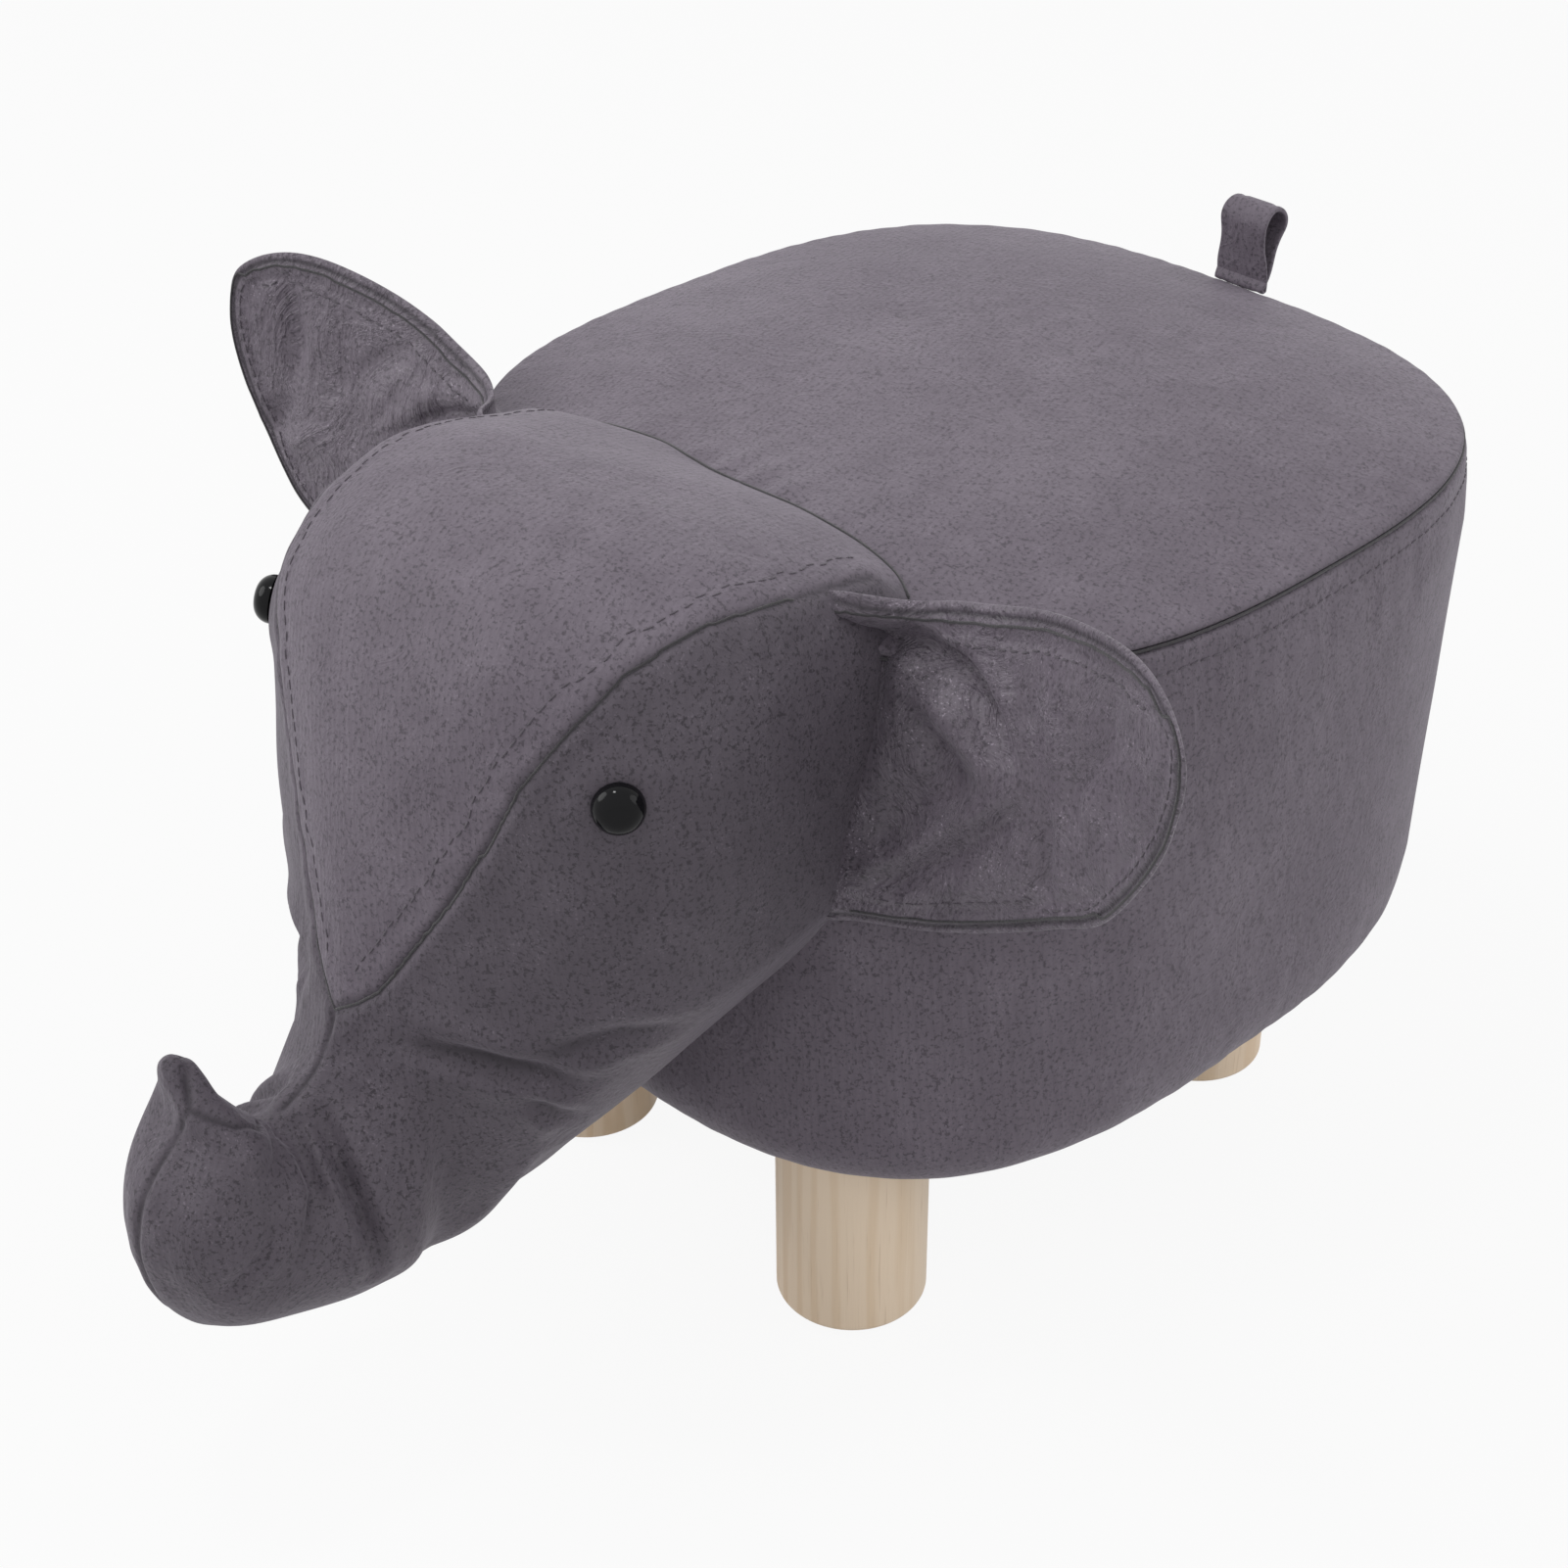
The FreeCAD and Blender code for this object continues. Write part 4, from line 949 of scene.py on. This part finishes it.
# Folds of the head in millimetres: line, depth and width.
FOLDS = [
    ([(12.1, -211.9, 156), (22.9, -213.4, 147.2), (34.4, -214.2, 133.5), (41.4, -214.4, 118.4),
      (40.5, -213.4, 105.3)], 6.4, 3.8),
    ([(9.5, -219.5, 154.2), (18.5, -222.3, 148.2), (26.5, -224.2, 141.7), (34, -231.8, 136.5),
      (37.3, -238.3, 128.2)], 3.8, 3.2),
    ([(32.4, -241.8, 143.6), (34.6, -250.4, 134.4), (33, -258.8, 129), (29, -265.7, 122.6)], 2.6, 3.4),
    ([(29, -186.1, 183.1), (43.3, -177.2, 180.9), (56.3, -168, 178.3), (69.3, -159.8, 176.9),
      (78, -152.5, 173.5)], 4.6, 5.6),
    ([(60.6, -164.7, 165.5), (67.2, -159.1, 160.3), (69.7, -148.7, 149.1)], 2.8, 4.5),
    ([(66.9, -161.8, 185.2), (81.5, -153.2, 191.6), (90.9, -144.7, 195.3), (98.3, -125.7, 192.6)],
     3.2, 6.0),
]


def eye_seat(name):
    """Middle and outward way of an eye's flat back: the odd one out of its points' main axes, and the
    lowest level along it of the points further out than the shank."""
    node = NODES[name]
    turned = np.array(node.matrix_world)
    spots = spots_of(node.data) @ turned[:3, :3].T + turned[:3, 3]
    centre = (spots.min(axis=0) + spots.max(axis=0)) / 2
    middle = spots.mean(axis=0)
    spread, ways = np.linalg.eigh(np.cov((spots - middle).T))
    odd = 0 if spread[1] - spread[0] > spread[2] - spread[1] else 2
    way = ways[:, odd] * np.sign(ways[0, odd] * centre[0])
    level = (spots - middle) @ way
    off = np.linalg.norm(spots - middle - level[:, None] * way, axis=1)
    return middle + way * level[off > 0.006].min(), way


def forehead_reach(spots):
    """How far a point lies inside the forehead panel: the lesser of its way in from the brow seam
    beside it and its height over a level below that seam, and below zero in front of the panel."""
    seam = BROW_SEAM[np.argsort(BROW_SEAM[:, 1])]
    across, level = (np.interp(spots[:, 1], seam[:, 1], seam[:, axis]) for axis in (0, 2))
    beside = across - np.abs(spots[:, 0])
    above = spots[:, 2] - level + 0.012
    return np.minimum(np.minimum(beside, above), spots[:, 1] - seam[0, 1] + 0.002)


class STOOL_OT_head(bpy.types.Operator):
    """Stuffed head and curled trunk: one skin, held along its seams and swollen between them"""
    bl_idname = "stool.head"
    bl_label = "Head and trunk"

    def execute(self, context):
        size = sizes()
        full = head_surface(0.0)
        slack = head_surface(0.0028)
        columns = full.shape[1]
        flat = full.reshape(-1, 3)
        seam_gap = np.min([line_distance(flat, line)[0] for line in seam_lines()], axis=0)
        close = bell(seam_gap, 0.010)
        rest = slack.reshape(-1, 3) * (1 - close[:, None]) + flat * close[:, None]
        shape = rest.reshape(full.shape)
        piece = ring_mesh("head_and_trunk", shape, (0, 0.0095, 0.212), TIP_END)
        held = np.clip(close * 1.2 - 0.2, 0, 1)
        held[:columns * 4] = 1.0
        held[-columns * 3:] = 0.7
        puff(piece, np.concatenate([held, [1.0, 0.5]]), size.swell * 0.7, 3.0)
        finer(piece, 2)
        spots = spots_of(piece.data)
        ways = normals_of(piece.data)
        seam_gap = np.min([line_distance(spots, line)[0] for line in seam_lines()], axis=0)
        groove = bell(seam_gap, 0.0017)
        move = waves(spots, 0.085, 21) * 0.0013 + waves(spots, 0.036, 22) * 0.0007
        pucker = bell(seam_gap - 0.008, 0.008)
        move += waves(spots, 0.013, 23) * 0.0007 * pucker - groove * 0.0012
        # Painted shade in the valleys of the folds.
        crease_shade = np.zeros(len(spots))
        for line, depth, width in FOLDS:
            for side in (line, mirrored(line)):
                gap, along = line_distance(spots, np.asarray(side, float) * MM)
                fade = np.sin(math.pi * np.clip(along * 0.92 + 0.04, 0, 1)) ** 0.7
                move -= depth * MM * fade * bell(gap, width * MM)
                move += depth * 0.45 * MM * fade * bell(gap - 1.7 * width * MM, width * MM)
                crease_shade = np.maximum(crease_shade, fade * bell(gap, 0.45 * width * MM))
        spots += ways * move[:, None]
        for name in ("eye_left", "eye_right"):
            spot, way = eye_seat(name)
            lift = (spots - spot) @ way
            off = np.linalg.norm(spots - spot - lift[:, None] * way, axis=1)
            share = np.exp(-(off / 0.0155) ** 4) * (np.abs(lift) < 0.03)
            spots += way * (share * (-0.0004 - lift))[:, None]
        spots = pulled_into_body(spots, 0.005)
        put_spots(piece.data, spots)
        keep_layer(piece, "seam", bell(seam_gap, 0.0013))
        # Painted shade: full on the cheeks and trunk outside the forehead panel, the sides that face away
        # from the lamps, plus the fold valleys.
        keep_layer(piece, "nap", np.clip(0.5 - forehead_reach(spots) / 0.003, 0, 1) + crease_shade)
        wear(piece, hide())
        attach(piece, "stool")
        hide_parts("forehead_panel", "left_cheek_panel", "right_cheek_panel", "trunk_end_patch",
                    "head_stuffing", "trunk_stuffing", "trunk_tip_stuffing")
        return {"FINISHED"}


# Ears

# Outline of the left ear in millimetres, across and up, from the root's top round to its foot and
# back up inside the head.
EAR_OUTLINE = np.array([
    (80, 316), (90, 322.5), (100, 319.5), (108, 318), (118, 320.5), (135, 325.5), (150, 331), (165, 336),
    (185, 341), (203, 344), (217, 343.5), (229, 339), (236, 331), (236.5, 315), (230, 293), (217, 269),
    (203, 250), (186, 239), (165, 227), (135, 214), (108, 207.5), (97, 205), (92, 222), (90, 245),
    (87, 270), (81, 295)])
# Middle of an ear across and up, in metres, and the points round it and from middle to rim.
EAR_MIDDLE = np.array((0.170, 0.284))
EAR_COLUMNS = 140
EAR_RINGS = 22
# Folds of each ear in millimetres: line across and up, depth toward the back and width.
EAR_FOLDS = {
    "left": [
        ([(96, 304), (108, 304), (119, 303), (129, 302), (137, 299), (146, 294), (153, 287)], 6.0, 4.5),
        ([(109, 294), (128, 289), (142, 283), (155, 277)], -3.2, 7.0),
        ([(111, 279), (128, 274), (134, 270), (123, 257), (118, 246)], 3.8, 9.0),
        ([(108, 224), (120, 237), (132, 250), (148, 263), (163, 278)], -2.4, 4.5),
        ([(106, 220), (127, 233), (145, 249), (158, 262), (167, 273)], 2.2, 4.5),
        ([(128, 227), (153, 242), (169, 254), (170, 266)], -1.8, 6.0),
        ([(174, 281), (178, 270), (180, 258), (180, 249)], 2.2, 3.5),
        ([(170, 306), (175, 301), (178, 294)], -1.8, 5.0),
        ([(198, 304), (196, 292), (193, 278)], -1.5, 4.0),
        ([(199, 331), (198, 311), (193, 299), (184, 282)], 1.8, 4.5)],
    "right": [
        ([(213, 331), (211, 323), (207, 310), (206, 300)], 4.0, 4.5),
        ([(212, 292), (210, 286), (214, 276)], 2.8, 4.5),
        ([(198, 326), (195, 318), (200, 306)], -1.8, 7.0),
        ([(182, 300), (168, 310), (157, 316)], 2.2, 8.0),
        ([(206, 270), (195, 277), (187, 273)], -1.6, 6.0),
        ([(96, 304), (119, 303), (137, 299), (153, 287)], 5.0, 5.0),
        ([(106, 220), (127, 233), (145, 249), (167, 273)], 2.0, 5.0)],
}


def ear_outline(count):
    """Smooth closed outline, as a share of a turn from the root's top."""
    line = np.concatenate([EAR_OUTLINE[-2:], EAR_OUTLINE, EAR_OUTLINE[:3]])
    shares = np.linspace(2.0, len(EAR_OUTLINE) + 2.0, count * 8) / (len(line) - 1)
    dense = smooth_run(line, shares)
    length = np.concatenate([[0], np.cumsum(np.linalg.norm(np.diff(dense, axis=0), axis=1))])
    stops = np.linspace(0, length[-1], count, endpoint=False)
    return np.stack([np.interp(stops, length, dense[:, axis]) for axis in (0, 1)], axis=-1) * MM


def upright_points(across, up):
    """Points of the plane across the stool from their place across and up."""
    return np.stack([across, np.zeros_like(across), up], axis=-1)


def ear_leaf(across, up, name):
    """Middle face of an ear: from a root line that leans back to an upright rim, cupped between by a
    parabola, with a bell shaped fold along each line, the root's top tucked forward, and clear of the
    body's front."""
    across, up = np.ravel(across), np.ravel(up)
    share = np.clip((across - 0.095) / 0.140, 0.0, 1.0)
    root = -0.061 + np.clip((up - 0.222) / 0.098, 0.0, 1.1) * 0.038
    leaf = root * (1 - share) - 0.055 * share + 0.011 * (1 - (2 * share - 1) ** 2)
    for line, depth, width in EAR_FOLDS[name]:
        line = np.array(line) * MM
        gap, run = line_distance(upright_points(across, up), upright_points(line[:, 0], line[:, 1]))
        fade = np.sin(math.pi * (0.12 + 0.76 * run)) ** 0.8
        leaf += 1.45 * depth * MM * fade * bell(gap, 0.9 * width * MM)
    if name == "right":
        leaf += 0.18 * (up - 0.305) * share
    tuck = bell(np.clip(across - 0.088, 0.0, None), 0.015)
    leaf -= 0.025 * tuck * np.clip((up - 0.302) / 0.012, 0.0, 1.0)
    face = body_front(across, up) - 0.0045
    low = np.clip((0.303 - up) / 0.004, 0.0, 1.0) * np.clip((across - 0.100) / 0.012, 0.0, 1.0)
    return leaf + np.minimum(face - leaf, 0.0) * low


def ear_surface(columns, rings, name):
    """Two layers sewn at the rim: scaled outlines about the ear's middle, front from the middle out,
    then the back from the rim in, apart by a thickness that closes at the rim."""
    size = sizes()
    outline = ear_outline(columns)
    out = np.sin(np.linspace(0, math.pi / 2, rings + 1)[1:])
    scales = np.concatenate([out, out[::-1][1:]])
    sides = np.concatenate([-np.ones(rings), np.ones(rings - 1)])
    flat = EAR_MIDDLE + scales[:, None, None] * (outline - EAR_MIDDLE)[None]
    gap = size.ear_thickness / 2 * np.sqrt(np.clip(1 - scales ** 2, 0, 1)) ** 0.8
    gap = np.minimum(gap, 0.0012 + np.clip(1 - scales, 0, 1) * 0.055)
    across, up = flat[..., 0], flat[..., 1]
    leaf = ear_leaf(across, up, name).reshape(across.shape)
    shape = np.stack([across, leaf + (sides * gap)[:, None], up], axis=-1)
    middle = ear_leaf(EAR_MIDDLE[:1], EAR_MIDDLE[1:], name)[0]
    half = size.ear_thickness / 2
    poles = [np.array((EAR_MIDDLE[0], middle + side * half, EAR_MIDDLE[1])) for side in (-1, 1)]
    return shape, poles


class STOOL_OT_ears(bpy.types.Operator):
    """Two ear flaps, sewn at the rim and soft between"""
    bl_idname = "stool.ears"
    bl_label = "Ears"

    def execute(self, context):
        size = sizes()
        outline = ear_outline(240)
        rim_line = upright_points(*np.concatenate([outline, outline[:1]]).T)
        ahead = unit(np.roll(outline, -1, axis=0) - np.roll(outline, 1, axis=0))
        inward = np.stack([ahead[:, 1], -ahead[:, 0]], axis=-1)
        rim_seam = outline + inward * 0.0032
        first = int(np.argmin(np.abs(outline[:, 0] - 0.086) + (outline[:, 1] < 0.3)))
        rim_seam = np.roll(rim_seam, -first, axis=0)
        rim_seam = rim_seam[:int(np.argmax(rim_seam[:, 1] < 0.211))]
        inside = outline + inward * EAR_STITCH_INSET
        keep = inside[:, 0] > 0.122
        first = int(np.argmax(keep & ~np.roll(keep, 1)))
        inside = np.roll(inside, -first, axis=0)[:int(keep.sum())]
        for name, side in (("left", 1.0), ("right", -1.0)):
            flip = np.array([side, 1.0, 1.0])
            shape, poles = ear_surface(EAR_COLUMNS, EAR_RINGS, name)
            rows, columns = shape.shape[:2]
            piece = ring_mesh("ear_" + name + "_flap", shape * flip, poles[0] * flip, poles[1] * flip)
            rim = np.abs(np.arange(rows) - (EAR_RINGS - 1))
            held = np.repeat(np.clip(1.2 - rim / 6.0, 0, 1), columns)
            puff(piece, np.concatenate([held, [0.0, 0.0]]), size.swell * 0.25, 1.5)
            finer(piece, 1)
            spots = spots_of(piece.data)
            ways = normals_of(piece.data)
            gap = line_distance(upright_points(spots[:, 0] * side, spots[:, 2]), rim_line)[0]
            sewn = bell(gap - 0.0030, 0.0009)
            stitched = bell(gap - EAR_STITCH_INSET, 0.0022)
            inner = np.clip((gap - 0.010) / 0.010, 0, 1)
            rimmed = np.clip(gap / EAR_STITCH_INSET, 0, 1)
            both = spots * np.array([side, 2.0, 1.0])
            crumple = waves(both, 0.020, 31) * 0.0007 + waves(both, 0.010, 32) * 0.0004
            ruffle = waves(both, 0.012, 33) * 0.0006 * rimmed * (1 - inner)
            spots += ways * (crumple * inner + ruffle - stitched * 0.0008 - sewn * 0.0006)[:, None]
            put_spots(piece.data, spots)
            keep_layer(piece, "seam", sewn)
            # Painted shade in the hollow by the ear's root, fading out toward the rim.
            root_shade = np.clip(1.0 - (spots[:, 0] * side - 0.104) / 0.026, 0, 1)
            keep_layer(piece, "nap", 1.2 * root_shade * inner)
            wear(piece, ear_hide())
            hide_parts("ear_lining_" + name, "ear_back_" + name)
            rows_of_thread = []
            tree = tree_of(piece)
            for face in (-1.0, 1.0):
                leaf = ear_leaf(inside[:, 0], inside[:, 1], name) + face * 0.01
                probe = np.stack([inside[:, 0] * side, leaf, inside[:, 1]], axis=-1)
                centres, normals = snap(tree, even_line(probe, STITCH_STEP))
                rows_of_thread.append((centres, normals, False))
            leaf = ear_leaf(rim_seam[:, 0], rim_seam[:, 1], name) - 0.01
            probe = np.stack([rim_seam[:, 0] * side, leaf, rim_seam[:, 1]], axis=-1)
            centres, normals = snap(tree, even_line(probe, 0.002))
            cord = welt("ear_" + name + "_seam", centres, normals, 0.0005, False)
            wear(cord, seam_shade())
            thread = stitch_row("ear_" + name + "_stitches", rows_of_thread)
            wear(thread, finish_of("sewing_thread", thread_finish))
            for part in (piece, thread, cord):
                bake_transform(part)
        return {"FINISHED"}


# Tail loop

# Degrees that the loop leans to the rear.
LOOP_LEAN = 12


class STOOL_OT_tail_loop(bpy.types.Operator):
    """Strap folded into a loop: a flat rounded profile carried round a drop shaped path"""
    bl_idname = "stool.tail_loop"
    bl_label = "Tail loop"

    def execute(self, context):
        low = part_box("tail_loop")[0]
        root = np.array((0.2755, low.z + 0.0023))
        radius, rise = 0.0069, 0.026
        lean = math.asin((radius - 0.0012) / rise)
        top = np.linspace(-lean, math.pi + lean, 41)
        arc = np.stack([radius * np.cos(top), rise + radius * np.sin(top)], axis=-1)
        foot = np.array([(0.0012, -0.0006), (0.0, -0.0012), (-0.0012, -0.0006)])
        path = np.concatenate([arc, foot])
        flat = np.concatenate([np.zeros((len(path), 1)), path], axis=1)
        path = even_line(flat, 0.0011, True)[:, 1:]
        ahead = unit(np.roll(path, -1, axis=0) - np.roll(path, 1, axis=0))
        out = np.stack([ahead[:, 1], -ahead[:, 0]], axis=-1)
        turn = np.linspace(0, 2 * math.pi, 40, endpoint=False)
        wide, thick = unit_outline(turn, 5.0)
        height = path[:, 1] / 0.034
        width = 0.0105 + 0.0006 * np.sin(height * 9.0) + 0.0018 * (1 - height)
        tilt = math.radians(LOOP_LEAN)
        turned = np.array([[math.cos(tilt), math.sin(tilt)], [-math.sin(tilt), math.cos(tilt)]])
        path = path @ turned.T
        out = out @ turned.T
        half = 0.00105 - 0.0002 * np.cos(height * 3.0)
        rows = np.zeros((len(path), len(turn), 3))
        rows[..., 0] = width[:, None] * wide
        edge = 1 - 0.35 * bell(np.abs(wide) - 0.72, 0.08)
        offset = half[:, None] * thick[None, :] * edge[None, :]
        rows[..., 1] = root[0] + path[:, None, 0] + offset * out[:, None, 0]
        rows[..., 2] = root[1] + path[:, None, 1] + offset * out[:, None, 1]
        piece = ring_mesh("tail_strap", rows, closed_rows=True)
        wear(piece, hide())
        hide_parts("tail_loop")
        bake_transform(piece)
        return {"FINISHED"}


# Stitching

def nape_line(head_tree, seat_tree):
    """Line across the nape where the head goes under the seat: the last place along, from the front,
    at which the head stands higher, smoothed by the mean of its neighbours."""
    line = []
    down = Vector((0.0, 0.0, -1.0))
    for across in np.linspace(-0.090, 0.090, 60):
        for along in np.linspace(-0.055, 0.020, 151):
            above = Vector((across, along, 0.5))
            head, seat = head_tree.ray_cast(above, down)[0], seat_tree.ray_cast(above, down)[0]
            if head is None or (seat is not None and seat.z > head.z):
                break
            last = (across, along, head.z)
        line.append(last)
    line = np.array(line)
    for _ in range(4):
        line[1:-1] = (line[:-2] + 2 * line[1:-1] + line[2:]) / 4
    return line


class STOOL_OT_stitching(bpy.types.Operator):
    """Topstitch rows and seam cords of the body and the head"""
    bl_idname = "stool.stitching"
    bl_label = "Stitching"

    def execute(self, context):
        size = sizes()
        flank_tree = tree_of(bpy.data.objects["flank_wrap"])
        head_tree = tree_of(bpy.data.objects["head_and_trunk"])
        thread = finish_of("sewing_thread", thread_finish)
        line = seat_seam_line(size.seam_height - SEAT_STITCH_DROP, -0.002, STITCH_STEP)
        centres, normals = snap(flank_tree, line)
        body_row = stitch_row("seat_stitches", [(centres, normals, True)])
        runs = []
        cords = []
        for side in (1.0, -1.0):
            flip = np.array([side, 1.0, 1.0])
            seam = even_line(BROW_SEAM[:-2] * flip, 0.0020)
            inward = even_line(BROW_SEAM[2:] * flip, STITCH_STEP)
            ahead = unit(np.gradient(inward, axis=0))
            spots, ways = snap(head_tree, inward)
            shift = np.cross(ways, ahead)
            shift *= np.sign(-shift[:, :1] * side)
            centres, normals = snap(head_tree, spots + shift * BROW_STITCH_INSET)
            runs.append((centres, normals, False))
            spots, ways = snap(head_tree, seam)
            cords.append((spots - ways * 0.0002, ways))
        head_row = stitch_row("brow_stitches", runs)
        for piece in (body_row, head_row):
            wear(piece, thread)
            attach(piece, "stool")
        nape = nape_line(head_tree, tree_of(bpy.data.objects["seat_cushion"]))
        made = [welt("brow_seam_" + name, spots, ways, 0.0006, False)
                for name, (spots, ways) in zip(("left", "right"), cords)]
        made.append(welt("nape_seam", nape, np.tile((0.0, 0.5, 0.866), (len(nape), 1)), 0.0008, False))
        seat_line = seat_seam_line(size.seam_height - 0.0009, 0.0012, 0.004)
        out = seat_line - seat_line.mean(axis=0)
        out[:, 2] = 0
        out = unit(out)
        made.append(welt("seat_seam", seat_line, out, 0.0005, True))
        for cord in made:
            wear(cord, seam_shade())
            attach(cord, "stool")
        return {"FINISHED"}


class STOOL_OT_frame(bpy.types.Operator):
    """Finishes for the legs, boards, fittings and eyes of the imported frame"""
    bl_idname = "stool.frame"
    bl_label = "Frame finishes"

    def execute(self, context):
        pine = finish_of("oiled_pine", pine_finish)
        ply = finish_of("plywood_sheet", board_finish, "plywood_sheet",
                        (0.60, 0.45, 0.29), (0.44, 0.30, 0.17), 0.6)
        post = finish_of("sawn_post", board_finish, "sawn_post",
                         (0.58, 0.42, 0.25), (0.43, 0.28, 0.15), 0.0)
        steel = finish_of("zinc_plate", steel_finish)
        felt = finish_of("grey_felt", felt_finish, "grey_felt", (0.10, 0.10, 0.10), (0.24, 0.23, 0.22))
        black = finish_of("black_button", plastic_finish, "black_button",
                          (0.004, 0.004, 0.005), (0.008, 0.008, 0.009), 0.05, 0.16)
        pale = finish_of("pale_washer", plastic_finish, "pale_washer",
                         (0.62, 0.61, 0.57), (0.70, 0.69, 0.65), 0.35, 0.5)
        for name, node in NODES.items():
            if name.startswith("leg_"):
                wear(node, pine)
            elif name.endswith("_board") or name.endswith("_panel"):
                wear(node, ply)
            elif name.startswith("corner_post"):
                wear(node, post)
            elif name.startswith(("hanger_bolt", "tee_nut", "frame_screws", "staples")):
                wear(node, steel)
            elif name.startswith("felt_glide"):
                wear(node, felt)
            elif name.startswith("eye_washer"):
                wear(node, pale)
            elif name.startswith("eye_"):
                wear(node, black)
        return {"FINISHED"}


# Stage

# The world's light, the floor, the lamps by name, place, power and width, and the camera's azimuth,
# elevation and roll in degrees, its place, and its lens and sensor in millimetres.
WHITE = (1.0, 1.0, 1.0, 1.0)
SOFT_LIGHT = 0.66
FLOOR_REACH = 6.0
FLOOR_GREY = (0.6, 0.6, 0.6, 1.0)
FLOOR_GLOW = 0.92
LAMPS = (
    ("key", (-1.3, -1.3, 1.5), 16.0, 1.4),
    ("fill", (1.6, 1.0, 1.2), 7.0, 1.4),
    ("spark", (-0.1, -0.4, 2.0), 5.0, 0.26),
)
LIT_POINT = Vector((0, 0, 0.2))
VIEW_ANGLES = (46.2, 33.7, -0.5)
VIEW_PLACE = (0.62338, -0.58276, 0.75332)
LENS = 63.0
SENSOR = 36.0


class STOOL_OT_stage(bpy.types.Operator):
    """Plain pale floor, soft light and the camera"""
    bl_idname = "stool.stage"
    bl_label = "Stage"

    def execute(self, context):
        scene = context.scene
        scene.view_settings.view_transform = "Standard"
        scene.world = bpy.data.worlds.new("studio")
        sky = Nodes(scene.world)
        soft = sky.add("ShaderNodeBackground", None, {"Color": WHITE, "Strength": SOFT_LIGHT})
        white = sky.add("ShaderNodeBackground", None, {"Color": WHITE, "Strength": 1.0})
        output = sky.tree.nodes.new("ShaderNodeOutputWorld")
        sky.join(output.inputs["Surface"], sky.blend(sky.backdrop(), soft, white))

        corners = np.array([(-1, -1, 0), (1, -1, 0), (1, 1, 0), (-1, 1, 0)], float) * FLOOR_REACH
        floor = mesh_piece("floor", corners, [[0, 1, 2, 3]])
        paper = Finish("floor_paper", Roughness=0.9, Specular_IOR_Level=0.0)
        paper.shader.inputs["Base Color"].default_value = FLOOR_GREY
        glow = paper.add("ShaderNodeEmission", None, {"Color": WHITE})
        cover = paper.blend(paper.backdrop() * FLOOR_GLOW, Wire(paper, paper.shader.outputs[0]), glow)
        paper.join(paper.output.inputs["Surface"], cover)
        wear(floor, paper.material)

        for name, place, power, width in LAMPS:
            lamp = bpy.data.lights.new(name, "AREA")
            lamp.shape = "DISK"
            lamp.size = width
            lamp.energy = power
            holder = bpy.data.objects.new(name, lamp)
            holder.location = place
            holder.rotation_euler = (LIT_POINT - Vector(place)).to_track_quat("-Z", "Y").to_euler()
            scene.collection.objects.link(holder)

        azimuth, elevation, roll = np.radians(VIEW_ANGLES)
        back = Vector((math.sin(azimuth) * math.cos(elevation), -math.cos(azimuth) * math.cos(elevation),
                       math.sin(elevation)))
        level = Vector((math.cos(azimuth), math.sin(azimuth), 0.0))
        upright = back.cross(level)
        right = level * math.cos(roll) + upright * math.sin(roll)
        above = upright * math.cos(roll) - level * math.sin(roll)
        lens = bpy.data.cameras.new("photo_view")
        lens.sensor_width = SENSOR
        lens.lens = LENS
        camera = bpy.data.objects.new("photo_view", lens)
        turned = Matrix((right, above, back)).transposed().to_4x4()
        camera.matrix_world = Matrix.Translation(VIEW_PLACE) @ turned
        scene.collection.objects.link(camera)
        scene.camera = camera
        return {"FINISHED"}


class STOOL_PT_panel(bpy.types.Panel):
    """Sidebar list of the stool's pieces"""
    bl_idname = "STOOL_PT_panel"
    bl_label = "Elephant footstool"
    bl_space_type = "VIEW_3D"
    bl_region_type = "UI"
    bl_category = "Stool"

    def draw(self, context):
        layout = self.layout
        for group in (context.scene.stool_sizes, context.scene.stool_colours):
            for name in group.__annotations__:
                layout.prop(group, name)
        for operator in OPERATORS:
            layout.operator(operator.bl_idname)


OPERATORS = (STOOL_OT_stage, STOOL_OT_frame, STOOL_OT_seat, STOOL_OT_flank, STOOL_OT_underside,
             STOOL_OT_head, STOOL_OT_ears, STOOL_OT_tail_loop, STOOL_OT_stitching)
CLASSES = (StoolSizes, StoolColours) + OPERATORS + (STOOL_PT_panel,)


def register():
    """Make the classes known and hang the settings on the scene."""
    for item in CLASSES:
        bpy.utils.register_class(item)
    bpy.types.Scene.stool_sizes = bpy.props.PointerProperty(type=StoolSizes)
    bpy.types.Scene.stool_colours = bpy.props.PointerProperty(type=StoolColours)


def unregister():
    """Take the settings and the classes away again."""
    del bpy.types.Scene.stool_colours
    del bpy.types.Scene.stool_sizes
    for item in reversed(CLASSES):
        bpy.utils.unregister_class(item)


def main():
    """Build every piece in order."""
    register()
    bpy.ops.stool.stage()
    bpy.ops.stool.frame()
    bpy.ops.stool.seat()
    bpy.ops.stool.flank()
    bpy.ops.stool.underside()
    bpy.ops.stool.head()
    bpy.ops.stool.ears()
    bpy.ops.stool.tail_loop()
    bpy.ops.stool.stitching()


if __name__ == "__main__":
    main()
